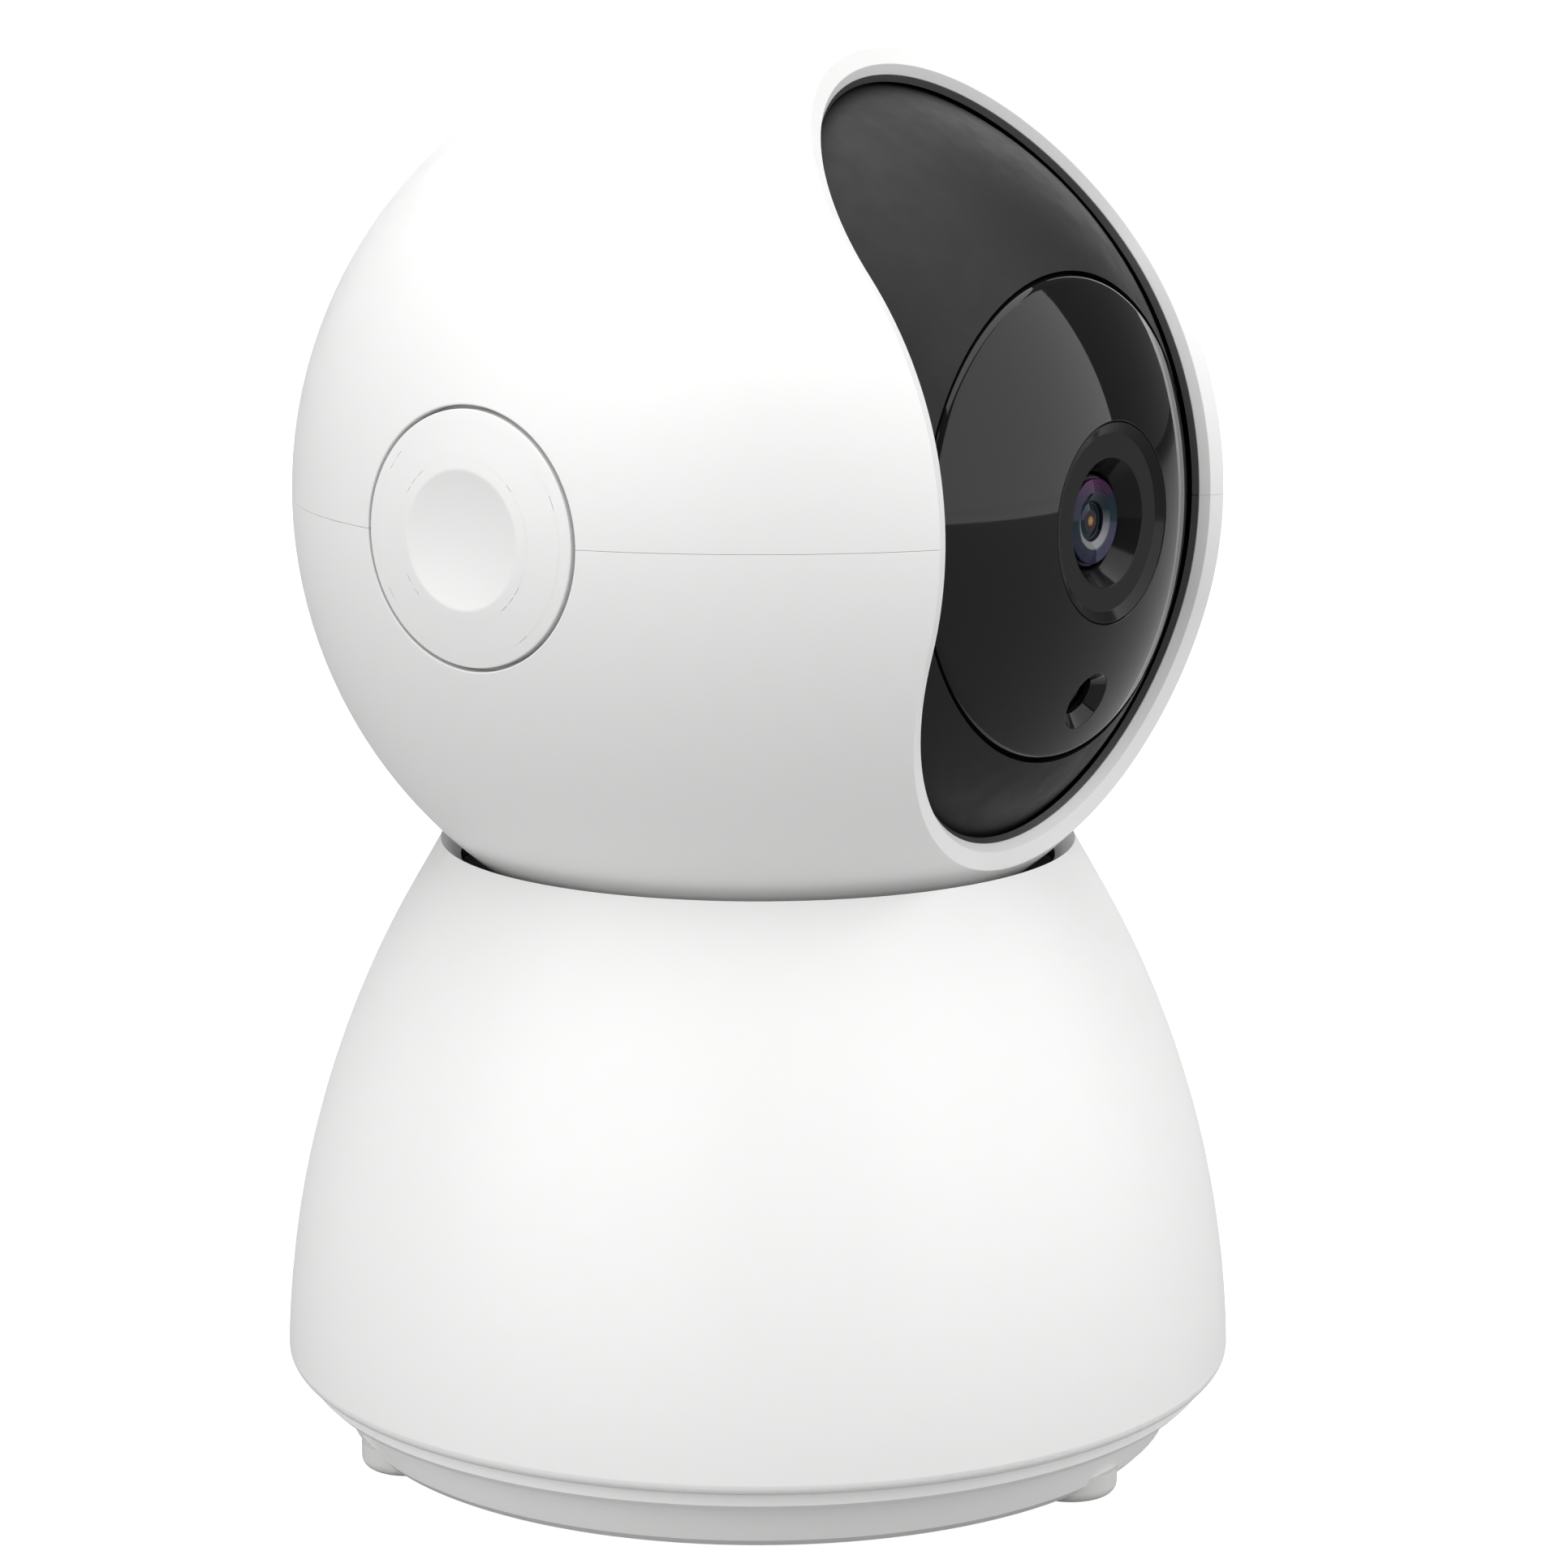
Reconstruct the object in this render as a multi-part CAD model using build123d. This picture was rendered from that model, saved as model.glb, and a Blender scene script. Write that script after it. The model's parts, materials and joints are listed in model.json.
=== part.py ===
"""Desktop pan and tilt security camera.

Origin: centre of the footprint, on the surface that the feet stand on.  +Z is up and the
lens looks along -Y.  Millimetres.  A round head turns on a domed base (pan, about Z), and a
black eye inside the head turns about the cross axis X (tilt).
"""

import math
import os

from build123d import *

# ---------------------------------------------------------------- driving dimensions
HEAD_Z = 81.3            # height of the head's centre, where the pan and tilt axes cross
HEAD_R = 39.0            # outside of the white head
SHELL_IN = 36.9          # inside of the white head
LINER_IN = 36.35         # inside of the black liner behind the slot
EYE_R = 36.0             # outside of the eye
EYE_HALF = 21.5          # half width of the eye across the tilt axis
EYE_WALL = 1.8
EYE_SPLIT_Y = 19.0       # joint between the eye's front and rear shells
SEAM = 0.03              # half of the fine gap between the head's halves
SIDE_SEAM = 45           # degrees; keeps a sphere's closing line off the side caps

SLOT_LOW, SLOT_HIGH = -15.5, 38.9    # elevations of the slot's two round ends, degrees
SLOT_ROOT = (20.0, 12.17)            # the slot's wall runs nearly radially from here ...
SLOT_WALL = (32.36, 19.70)           # ... to here: distances along and across its axis
SLOT_CHAMFER = (32.80, 21.10)        # outer edge of the chamfer, on the head's surface

CAP_R = 10.1             # side cap, in a recess 0.3 larger
CAP_GAP = 0.3
CAP_THICK = 1.6
DIMPLE_R, DIMPLE_DEPTH = 5.5, 0.55

PANEL_R = 19.45          # glossy front panel, in a seat PANEL_GAP larger
PANEL_GAP = 0.3
PANEL_THICK = 1.6
BEZEL_R = 8.05
SENSOR_HOLE_ELEV, SENSOR_HOLE_R = -24.0, 2.6

BASE_ARC_R, BASE_ARC_Z, BASE_MAX_R = 84.35, 5.6, 40.69   # outline arc and its widest point
BASE_ARC_END = 30.0      # degrees of arc before the straight shoulder
NECK_Z = 51.9            # top edge of the base
NECK_SEAT_R = 39.95      # hollow that the head turns in
BASE_WALL = 2.2
SHELL_FOOT_Z = 7.0       # lower edge of the base shell

LIP_R, LIP_LOW, LIP_TOP = 39.1, 5.6, 6.9
RING_TOP_R, RING_LOW_R, RING_LOW_Z = 36.6, 35.5, 1.0
FOOT_R, FOOT_AT, FOOT_TOP = 4.0, 32.2, 2.2

PORT_FACE_Y = 40.3       # flat face of the rear port panel
PORT_ROOT_Y = 34.0       # where its prism starts, inside the shell
PORT_WALL = 1.7
PORT_HALF, PORT_LOW = 15.3, 8.4            # half width and lower edge
PORT_SIDE_R, PORT_TOP_R = 32.0, 12.0       # arcs of its sides and of its top

GEAR_MODULE = 0.6
BACKLASH = 0.10
PAN_TEETH, TILT_TEETH, PINION_TEETH = 40, 32, 12
PAN_CENTRES = GEAR_MODULE * (PAN_TEETH + PINION_TEETH) / 2
TILT_CENTRES = GEAR_MODULE * (TILT_TEETH + PINION_TEETH) / 2
PAN_GEAR_LOW, PAN_GEAR_TOP = 27.4, 30.2
TILT_GEAR_IN, TILT_GEAR_OUT = 22.3, 24.5

SPINDLE_R, SPINDLE_BORE = 6.5, 4.5
FLANGE_TOP, FLANGE_LOW, FLANGE_R = 39.3, 37.3, 12.0
BOWL_R, BOWL_WALL = 41.3, 2.0
HUB_FLOOR = 36.4
TRUNNION_R = 4.0
RUN_FIT = 0.04           # radial clearance of every shaft in its bush
SEAT_FIT = 0.03          # clearance of a part that is pushed into its seat
MOTOR_BOSS_R = 4.5
SHAFT_R = 1.0

BRACKET_IN, BRACKET_OUT = 24.9, 27.1
SHELL_BOSS_AT = (27.8, 16.5)          # bosses that join the head's halves
BRACKET_POST_AT = (29.6, 4.6)         # posts under the two brackets
POST_TOP = -15.8         # top of the bracket posts, from the head's centre
EYE_POST_AT = (17.4, 19.6)            # posts that join the eye's shells
BASE_BOSS_AT, BASE_BOSS_TURN, BASE_BOSS_R = 32.2, 60, 3.0
BOWL_POST_AT, BOWL_EAR_TOP, BOWL_EAR_THICK = 25.2, 43.5, 1.8
MOTOR_PLATE_TOP, MOTOR_PLATE_THICK = 25.6, 1.2
MOTOR_POST_AT = (14.2, -8.6)
SPEAKER_X = -17.0
COVER_FLOOR = 3.0        # inside of the bottom cover

SCREW_R, SCREW_HEAD_R, SCREW_HEAD_H = 0.9, 1.7, 1.2
SCREW_SLOT, SCREW_FIT = 0.36, 0.15    # width of the cross slot; clearance round a shank
DOWEL_R, DOWEL_REACH = 1.1, 6.0
IO_BOARD_Y = 29.0
USB_Z, RESET_Z, CARD_Z = 13.5, 18.5, 24.0
RESET_R = 1.0

CENTRE = Pos(0, 0, HEAD_Z)
PARTS = {}


def keep(name, *pieces):
    """Collect the solids of one node under a name."""
    PARTS[name] = [solid for piece in pieces for solid in piece.solids()]


# ---------------------------------------------------------------- small helpers
def rod_z(radius, low, high, x=0.0, y=0.0):
    return Pos(x, y, (low + high) / 2) * Cylinder(radius, high - low)


def rod_x(radius, start, end, y=0.0, z=0.0):
    """Rod along X; y and z are counted from the head's centre."""
    middle = Pos((start + end) / 2, y, HEAD_Z + z)
    return middle * Rot(0, 90, 0) * Cylinder(radius, abs(end - start))


def rod_y(radius, start, end, x=0.0, z=HEAD_Z):
    return Pos(x, (start + end) / 2, z) * Rot(90, 0, 0) * Cylinder(radius, abs(end - start))


def block(x0, x1, y0, y1, z0, z1):
    middle = Pos((x0 + x1) / 2, (y0 + y1) / 2, (z0 + z1) / 2)
    return middle * Box(x1 - x0, y1 - y0, z1 - z0)


def ball(radius, seam=0.0):
    """Sphere about the head's centre; seam turns the line where its surface closes."""
    return CENTRE * Rot(0, 0, seam) * Sphere(radius)


def turned(points, z=0.0):
    """Solid of revolution about Z from (radius, height) points."""
    outline = Polyline(*[(r, 0, z + h) for r, h in points], close=True)
    return revolve(make_face(outline), Axis.Z)


def turned_y(points):
    """Solid of revolution about the lens axis from (radius, distance forward) points."""
    outline = Polyline(*[(r, -forward, HEAD_Z) for r, forward in points], close=True)
    return revolve(make_face(outline), Axis((0, 0, HEAD_Z), (0, 1, 0)))


def on_circle(count, radius, start=0.0):
    """(x, y) places evenly spaced around the pan axis."""
    angles = [math.radians(start + 360 * i / count) for i in range(count)]
    return [(radius * math.cos(a), radius * math.sin(a)) for a in angles]


def four_corners(at):
    """Places mirrored in both directions."""
    return [(side * at[0], end * at[1]) for side in (-1, 1) for end in (-1, 1)]


SHELL_BOSSES = four_corners(SHELL_BOSS_AT)
BRACKET_POSTS = four_corners(BRACKET_POST_AT)
EYE_POSTS = four_corners(EYE_POST_AT)
BASE_BOSSES = on_circle(3, BASE_BOSS_AT, BASE_BOSS_TURN)
BOWL_POSTS = on_circle(3, BOWL_POST_AT, 90)
MOTOR_POSTS = [(side * MOTOR_POST_AT[0], MOTOR_POST_AT[1]) for side in (-1, 1)]
FEET = on_circle(3, FOOT_AT, -90)


def cross_slot():
    """Cross recess, cut 1.1 mm to each side and 1.2 mm deep about its middle."""
    return Box(2.2, SCREW_SLOT, 1.2) + Box(SCREW_SLOT, 2.2, 1.2)


def screw_z(x, y, seat, length, up=True):
    """Pan head screw; the head sits on seat and the shank runs up or down from it."""
    sign = 1 if up else -1
    ends = sorted((seat, seat + sign * length))
    head = sorted((seat, seat - sign * SCREW_HEAD_H))
    piece = rod_z(SCREW_R, ends[0], ends[1], x, y) + rod_z(SCREW_HEAD_R, head[0], head[1], x, y)
    return piece - Pos(x, y, seat - sign * SCREW_HEAD_H) * cross_slot()


# ---------------------------------------------------------------- gears
def involute(base_r, radius):
    """Angle that an involute has turned through when it reaches a radius."""
    reach = math.sqrt(max(radius * radius / (base_r * base_r) - 1, 0))
    return reach - math.atan(reach)


def gear_face(teeth, turn=0.0):
    """Spur gear outline with 20 degree involute flanks, one tooth centred on turn degrees."""
    pitch_r = GEAR_MODULE * teeth / 2
    base_r = pitch_r * math.cos(math.radians(20))
    tip_r, root_r = pitch_r + 0.92 * GEAR_MODULE, pitch_r - 1.2 * GEAR_MODULE
    half = (math.pi * GEAR_MODULE / 2 - BACKLASH) / 2 / pitch_r
    start_r = max(base_r, root_r + 0.05)
    flank = [start_r + (tip_r - start_r) * step / 3 for step in range(4)]
    points = []
    for tooth in range(teeth):
        middle = math.radians(turn) + 2 * math.pi * tooth / teeth
        width = [half + involute(base_r, pitch_r) - involute(base_r, r) for r in flank]
        root = width[0] + 0.01
        rising = [(root_r, -root)] + [(r, -w) for r, w in zip(flank, width)]
        falling = [(r, w) for r, w in reversed(list(zip(flank, width)))] + [(root_r, root)]
        points += [(r * math.cos(middle + a), r * math.sin(middle + a)) for r, a in rising + falling]
    return make_face(Polyline(*points, close=True))


def pan_gear():
    wheel = extrude(gear_face(PAN_TEETH), PAN_GEAR_TOP - PAN_GEAR_LOW)
    wheel = Pos(0, 0, PAN_GEAR_LOW) * wheel
    return wheel - rod_z(SPINDLE_R, PAN_GEAR_LOW - 1, PAN_GEAR_TOP + 1)


def pan_pinion():
    """Twelve teeth, with a gap facing the pan gear's tooth."""
    half_pitch = 180 / PINION_TEETH
    wheel = extrude(gear_face(PINION_TEETH, 90 + half_pitch), PAN_GEAR_TOP - PAN_GEAR_LOW)
    wheel = Pos(0, -PAN_CENTRES, PAN_GEAR_LOW) * wheel
    return wheel - rod_z(SHAFT_R, PAN_GEAR_LOW - 1, PAN_GEAR_TOP + 1, 0, -PAN_CENTRES)


def side_gear(teeth, turn, y):
    """Gear on an axis parallel to X, on the -X side of the eye."""
    plane = Plane(origin=(-TILT_GEAR_IN, y, HEAD_Z), x_dir=(0, 1, 0), z_dir=(-1, 0, 0))
    return extrude(plane * gear_face(teeth, turn), TILT_GEAR_OUT - TILT_GEAR_IN)


# ---------------------------------------------------------------- head
def slot_cutter():
    """Round-ended slot: a sector turned about the tilt axis, with half a turned solid at each end."""
    slope = (SLOT_CHAMFER[1] - SLOT_WALL[1]) / (SLOT_CHAMFER[0] - SLOT_WALL[0])
    far, outer = 46.0, 25.9
    ramp_end = SLOT_WALL[0] + (outer - SLOT_WALL[1]) / slope
    half = [SLOT_ROOT, SLOT_WALL, (ramp_end, outer), (far, outer)]

    def plane(elevation):
        a = math.radians(elevation)
        ahead = (0, -math.cos(a), math.sin(a))
        return Plane(origin=(0, 0, HEAD_Z), x_dir=ahead, z_dir=(0, -ahead[2], ahead[1]))

    across = half + [(v, -w) for v, w in reversed(half)]
    middle = make_face(plane(SLOT_LOW) * Polyline(*across, close=True))
    cutter = revolve(middle, Axis((0, 0, HEAD_Z), (-1, 0, 0)), SLOT_HIGH - SLOT_LOW)
    for elevation, turn in ((SLOT_LOW, 1), (SLOT_HIGH, -1)):
        at = plane(elevation)
        end = make_face(at * Polyline((SLOT_ROOT[0], 0), *half, (far, 0), close=True))
        cutter += revolve(end, Axis(at.origin, at.x_dir * turn), 180)
    return cutter


def cap_recess():
    """Stepped holes for the two side caps."""
    cut = None
    for side in (-1, 1):
        deep = math.sqrt(HEAD_R ** 2 - CAP_R ** 2) - CAP_THICK
        step = rod_x(CAP_R + CAP_GAP, side * deep, side * (HEAD_R + 1))
        step += rod_x(CAP_R - 2.0, side * 30.0, side * (deep + 0.1))
        cut = step if cut is None else cut + step
    return cut


def head_skin():
    return ball(HEAD_R, SIDE_SEAM) - ball(SHELL_IN, SIDE_SEAM) - slot_cutter() - cap_recess()


def boss_rods(places, radius, low, high):
    rods = [rod_z(radius, HEAD_Z + low, HEAD_Z + high, x, y) for x, y in places]
    return [rod & ball(SHELL_IN + 0.5) for rod in rods]


def head_shell_upper(skin):
    half = skin & block(-45, 45, -45, 45, HEAD_Z + SEAM, HEAD_Z + 45)
    for rod in boss_rods(SHELL_BOSSES, 2.6, SEAM, 30):
        half += rod
    for x, y in SHELL_BOSSES:
        half -= rod_z(DOWEL_R, HEAD_Z - 1, HEAD_Z + DOWEL_REACH, x, y)
    return half


def head_shell_lower(skin):
    half = skin & block(-45, 45, -45, 45, HEAD_Z - 45, HEAD_Z - SEAM)
    for rod in boss_rods(SHELL_BOSSES, 2.6, -30, -SEAM):
        half += rod
    for rod in boss_rods(BRACKET_POSTS, 2.3, -30, POST_TOP):
        half += rod
    half += rod_z(FLANGE_R, FLANGE_TOP, HEAD_Z - 35.2) - ball(SHELL_IN)
    half -= rod_z(SPINDLE_BORE, 30, HEAD_Z - 30)
    for x, y in SHELL_BOSSES:
        half -= rod_z(DOWEL_R, HEAD_Z - DOWEL_REACH, HEAD_Z + 1, x, y)
    for x, y in BRACKET_POSTS:
        half -= rod_z(SCREW_R, HEAD_Z + POST_TOP - 4.5, HEAD_Z, x, y)
    for x, y in on_circle(3, 8.6, 90):
        half -= rod_z(SCREW_R, FLANGE_TOP - 1, FLANGE_TOP + 2.6, x, y)
    return half


def rim_liner():
    """Thin black lining that closes the gap between the slot's wall and the eye."""
    liner = ball(SHELL_IN) - ball(LINER_IN) - slot_cutter()
    return liner & block(-23.5, 23.5, -40, -3, HEAD_Z - 34, HEAD_Z + 40)


def side_cap():
    """Flush cover over the +X end of the tilt axis, with a shallow thumb dimple."""
    edge = math.sqrt(HEAD_R ** 2 - CAP_R ** 2)
    inner = edge - CAP_THICK
    cap = rod_x(CAP_R, inner, HEAD_R + 1) & ball(HEAD_R, SIDE_SEAM)
    dip_r = (DIMPLE_R ** 2 + DIMPLE_DEPTH ** 2) / (2 * DIMPLE_DEPTH)
    face = math.sqrt(HEAD_R ** 2 - DIMPLE_R ** 2)
    cap -= Pos(face + dip_r - DIMPLE_DEPTH, 0, HEAD_Z) * Sphere(dip_r)
    collar = rod_x(CAP_R - 2.2, inner - 2.0, inner + 0.2)
    return cap + (collar - rod_x(CAP_R - 3.4, 30, inner + 0.2))


def tilt_bracket(side):
    """Arm that carries one end of the tilt axis, with a foot screwed to two posts."""
    hub = rod_x(8.5, side * BRACKET_IN, side * BRACKET_OUT)
    foot_low, foot_top = HEAD_Z + POST_TOP, HEAD_Z + POST_TOP + 1.8
    xs = sorted((side * BRACKET_IN, side * BRACKET_OUT))
    arm = hub + block(xs[0], xs[1], -7.0, 7.0, foot_low, HEAD_Z)
    xs = sorted((side * BRACKET_IN, side * 32.0))
    arm += block(xs[0], xs[1], -7.0, 7.0, foot_low, foot_top)
    rib = sorted((side * BRACKET_OUT, side * 29.0))
    arm += block(rib[0], rib[1], -0.9, 0.9, foot_low, foot_top + 4.5)
    arm -= rod_x(TRUNNION_R + 1.5, side * 20, side * 30)
    for x, y in BRACKET_POSTS:
        arm -= rod_z(SCREW_R + SCREW_FIT, foot_low - 1, foot_top + 1, x, y)
    return arm


def tilt_bush(side):
    """Plain bearing with an outer flange."""
    bush = rod_x(TRUNNION_R + 1.5, side * BRACKET_IN, side * BRACKET_OUT)
    bush += rod_x(TRUNNION_R + 2.6, side * BRACKET_OUT, side * (BRACKET_OUT + 0.8))
    return bush - rod_x(TRUNNION_R + RUN_FIT, side * 20, side * 30)


def tilt_gear():
    """Fixed gear that the tilt motor's pinion climbs around; it is held by the -X arm."""
    wheel = side_gear(TILT_TEETH, 0, 0)
    wheel += rod_x(6.5, -TILT_GEAR_OUT, -BRACKET_IN)
    return wheel - rod_x(TRUNNION_R + 0.4, -20, -30)


def shell_dowels():
    """Press-fit pins that join the two halves of the head."""
    return [rod_z(DOWEL_R, HEAD_Z - DOWEL_REACH, HEAD_Z + DOWEL_REACH, x, y) for x, y in SHELL_BOSSES]


def head_screws():
    """Four bracket screws and three spindle screws."""
    seat = HEAD_Z + POST_TOP + 1.8
    arms = [screw_z(x, y, seat, 5.6, up=False) for x, y in BRACKET_POSTS]
    hub = [screw_z(x, y, FLANGE_LOW + SCREW_HEAD_H, 2.8) for x, y in on_circle(3, 8.6, 90)]
    return arms + hub


def pan_spindle():
    """Hollow spindle under the head; its bore is the cable way."""
    spindle = rod_z(FLANGE_R, FLANGE_LOW, FLANGE_TOP)
    spindle += rod_z(SPINDLE_R, PAN_GEAR_LOW - 0.8, FLANGE_LOW)
    spindle -= rod_z(SPINDLE_BORE, PAN_GEAR_LOW - 2, FLANGE_TOP + 1)
    for x, y in on_circle(3, 8.6, 90):
        spindle -= rod_z(SCREW_R, FLANGE_LOW - 1, FLANGE_TOP + 1, x, y)
        spindle -= rod_z(SCREW_HEAD_R + 0.1, FLANGE_LOW - 1, FLANGE_LOW + SCREW_HEAD_H, x, y)
    return spindle


def spindle_clip():
    """Retaining ring under the pan gear."""
    ring = rod_z(8.2, PAN_GEAR_LOW - 0.8, PAN_GEAR_LOW)
    return ring - rod_z(SPINDLE_R, 20, 30)


# ---------------------------------------------------------------- eye
def eye_zone(radius, half):
    return ball(radius) & block(-half, half, -45, 45, HEAD_Z - 45, HEAD_Z + 45)


def eye_hollow():
    return eye_zone(EYE_R, EYE_HALF) - eye_zone(EYE_R - EYE_WALL, EYE_HALF - EYE_WALL)


def eye_front_shell():
    shell = eye_hollow() & block(-30, 30, -40, EYE_SPLIT_Y, HEAD_Z - 40, HEAD_Z + 40)
    seat_r = EYE_R - PANEL_THICK
    ledge = eye_zone(seat_r - SEAT_FIT, EYE_HALF - 0.5) - ball(seat_r - 1.6)
    ledge &= rod_y(PANEL_R + 2.0, -40, -20)
    shell += ledge
    shell -= rod_y(PANEL_R + PANEL_GAP, -40, -20) - ball(seat_r - SEAT_FIT)
    shell -= rod_y(PANEL_R - 1.8, -40, -20)
    for side in (-1, 1):
        shell -= rod_x(TRUNNION_R + SEAT_FIT, side * 15, side * 25)
    shell -= rod_x(MOTOR_BOSS_R + SEAT_FIT, -15, -25, y=TILT_CENTRES)
    for x, z in EYE_POSTS:
        post = rod_y(2.2, 8.0, EYE_SPLIT_Y, x, HEAD_Z + z)
        shell += post & ball(EYE_R - 0.5)
        shell -= rod_y(SCREW_R, 11.0, 24, x, HEAD_Z + z)
    return shell


def eye_rear_shell():
    shell = eye_hollow() & block(-30, 30, EYE_SPLIT_Y, 40, HEAD_Z - 40, HEAD_Z + 40)
    shell -= rod_y(4.0, 20, 40)
    for x, z in EYE_POSTS:
        pad = rod_y(2.6, EYE_SPLIT_Y, 26, x, HEAD_Z + z) & ball(EYE_R - 0.5)
        shell += pad
        shell -= rod_y(SCREW_R, EYE_SPLIT_Y - 1, 30, x, HEAD_Z + z)
        shell -= rod_y(SCREW_HEAD_R + 0.2, 21.0, 40, x, HEAD_Z + z)
    return shell


def eye_screws():
    screws = []
    for x, z in EYE_POSTS:
        place = Pos(x, 21.0, HEAD_Z + z) * Rot(90, 0, 0)
        shank = Cylinder(SCREW_R, 8.0, align=(Align.CENTER, Align.CENTER, Align.MIN))
        head = Cylinder(SCREW_HEAD_R, SCREW_HEAD_H, align=(Align.CENTER, Align.CENTER, Align.MAX))
        screws.append(place * (shank + head - Pos(0, 0, -SCREW_HEAD_H) * cross_slot()))
    return screws


def front_panel():
    """Glossy black dome with a stepped hole for the lens and a flared sensor hole."""
    panel = ball(EYE_R) - ball(EYE_R - PANEL_THICK)
    panel &= rod_y(PANEL_R, -40, -20)
    rim = [e for e in panel.edges().filter_by(GeomType.CIRCLE) if abs(e.radius - PANEL_R) < 0.01]
    outer = min(rim, key=lambda e: e.center().Y)
    panel = chamfer(outer, 0.25)
    panel -= rod_y(BEZEL_R + 0.05, -40, -20)
    return panel - sensor_bore(SENSOR_HOLE_R, SENSOR_HOLE_R - 0.9)


def sensor_bore(outer_r, inner_r):
    """Flared hole square to the dome, below the lens."""
    a = math.radians(SENSOR_HOLE_ELEV)
    at = Plane(origin=(0, 0, HEAD_Z), x_dir=(0, -math.cos(a), math.sin(a)), z_dir=(1, 0, 0))
    low, high = EYE_R - PANEL_THICK - 0.6, EYE_R + 0.6
    flare = (outer_r - inner_r) / PANEL_THICK
    reach = 0.6 * flare
    points = [(low, 0), (low, inner_r - reach), (high, outer_r + reach), (high, 0)]
    return revolve(make_face(at * Polyline(*points, close=True)), Axis(at.origin, at.x_dir))


def light_sensor():
    """Photocell in a square holder behind the flared hole."""
    a = SENSOR_HOLE_ELEV
    at = CENTRE * Rot(-a, 0, 0) * Rot(90, 0, 0)
    body = at * Pos(0, 0, EYE_R - PANEL_THICK - 1.6) * Box(5.4, 5.4, 2.4)
    lens = at * Pos(0, 0, EYE_R - PANEL_THICK - 0.4) * Sphere(1.3)
    return (body + lens) & ball(EYE_R - PANEL_THICK - 0.1)


def lens_bezel():
    """Stepped ring: shallow cone, flat ring, then a deep cone down to the lens."""
    top = math.sqrt(EYE_R ** 2 - BEZEL_R ** 2)
    points = [(BEZEL_R, top), (7.15, 34.6), (5.2, 34.6), (3.95, 32.9), (3.95, 31.2),
              (6.6, 31.2), (6.6, 32.6), (BEZEL_R, 32.6)]
    return turned_y(points)


def lens_barrel():
    """Threaded barrel with a narrow nose that holds the front element."""
    points = [(3.75, 32.6), (3.75, 29.8), (5.9, 29.8), (5.9, 19.4), (2.6, 19.4), (2.6, 29.0),
              (3.1, 29.0), (3.1, 32.9), (3.6, 32.9)]
    return turned_y(points)


def lens_glass():
    """Front element with a domed face, and the rear element group."""
    dome_r, face = 5.2, 32.6
    dome = Pos(0, -(face + 0.75 - dome_r), HEAD_Z) * Sphere(dome_r)
    front = rod_y(3.05, -34, -30.2) & dome
    return [front, rod_y(2.55, -27.5, -20.0)]


def lens_mount():
    """Square holder that the barrel screws into, on the camera board."""
    holder = block(-7.5, 7.5, -20.5, -13.2, HEAD_Z - 7.5, HEAD_Z + 7.5)
    holder += block(-10.5, 10.5, -14.7, -13.2, HEAD_Z - 2.4, HEAD_Z + 2.4)
    holder -= rod_y(5.9, -22, -18.0)
    holder -= block(-5.6, 5.6, -18.1, -13.0, HEAD_Z - 5.6, HEAD_Z + 5.6)
    return holder - rod_y(5.9, -22, -17.0)


def camera_pcb():
    board = block(-17, 17, -13.2, -12.0, HEAD_Z - 17, HEAD_Z + 17)
    for x in (-14.5, 14.5):
        for z in (-14.5, 14.5):
            board -= rod_y(1.1, -15, -10, x, HEAD_Z + z)
    board += block(-5, 5, -12.0, -10.6, HEAD_Z + 4, HEAD_Z + 14)
    return board + block(-9, 9, -12.0, -9.2, HEAD_Z - 14, HEAD_Z - 10.2)


def image_sensor():
    return block(-4.2, 4.2, -14.4, -13.2, HEAD_Z - 4.2, HEAD_Z + 4.2)


def ir_led_board():
    ring = rod_y(17.0, -26.4, -25.4)
    return ring - rod_y(8.8, -28, -24)


def ir_leds():
    leds = []
    for x, z in on_circle(8, 12.8, 22.5):
        lamp = rod_y(1.5, -28.6, -26.4, x, HEAD_Z + z)
        leds.append(lamp + Pos(x, -28.6, HEAD_Z + z) * Sphere(1.5))
    return leds


def trunnion(side):
    """Hollow stub shaft, flanged inside the eye's flat side."""
    wall = EYE_HALF - EYE_WALL
    stub = rod_x(7.0, side * (wall - 1.5), side * wall)
    stub += rod_x(TRUNNION_R, side * wall, side * (BRACKET_OUT + 1.6))
    return stub - rod_x(2.6, side * 15, side * 30)


def tilt_motor():
    """Geared stepping motor inside the eye, behind the lens, with its boss in the side wall."""
    can = rod_x(9.8, -17.6, -5.0, y=TILT_CENTRES)
    can += rod_x(MOTOR_BOSS_R, -EYE_HALF + 0.2, -17.6, y=TILT_CENTRES)
    can += block(-17.6, -16.8, TILT_CENTRES - 2.4, TILT_CENTRES + 2.4, HEAD_Z - 14.5, HEAD_Z + 14.5)
    can += block(-14.0, -8.0, TILT_CENTRES - 3.5, TILT_CENTRES + 3.5, HEAD_Z - 12.0, HEAD_Z - 8.0)
    return can - rod_x(SHAFT_R + RUN_FIT, -30, -9.0, y=TILT_CENTRES)


def tilt_shaft():
    return rod_x(SHAFT_R, -TILT_GEAR_OUT - 0.1, -9.5, y=TILT_CENTRES)


def tilt_pinion():
    """Meshes with the fixed gear: a gap of the pinion faces a tooth of the gear."""
    turn = 180 + 180 / PINION_TEETH
    return side_gear(PINION_TEETH, turn, TILT_CENTRES) - rod_x(SHAFT_R, -20, -30, y=TILT_CENTRES)


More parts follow.
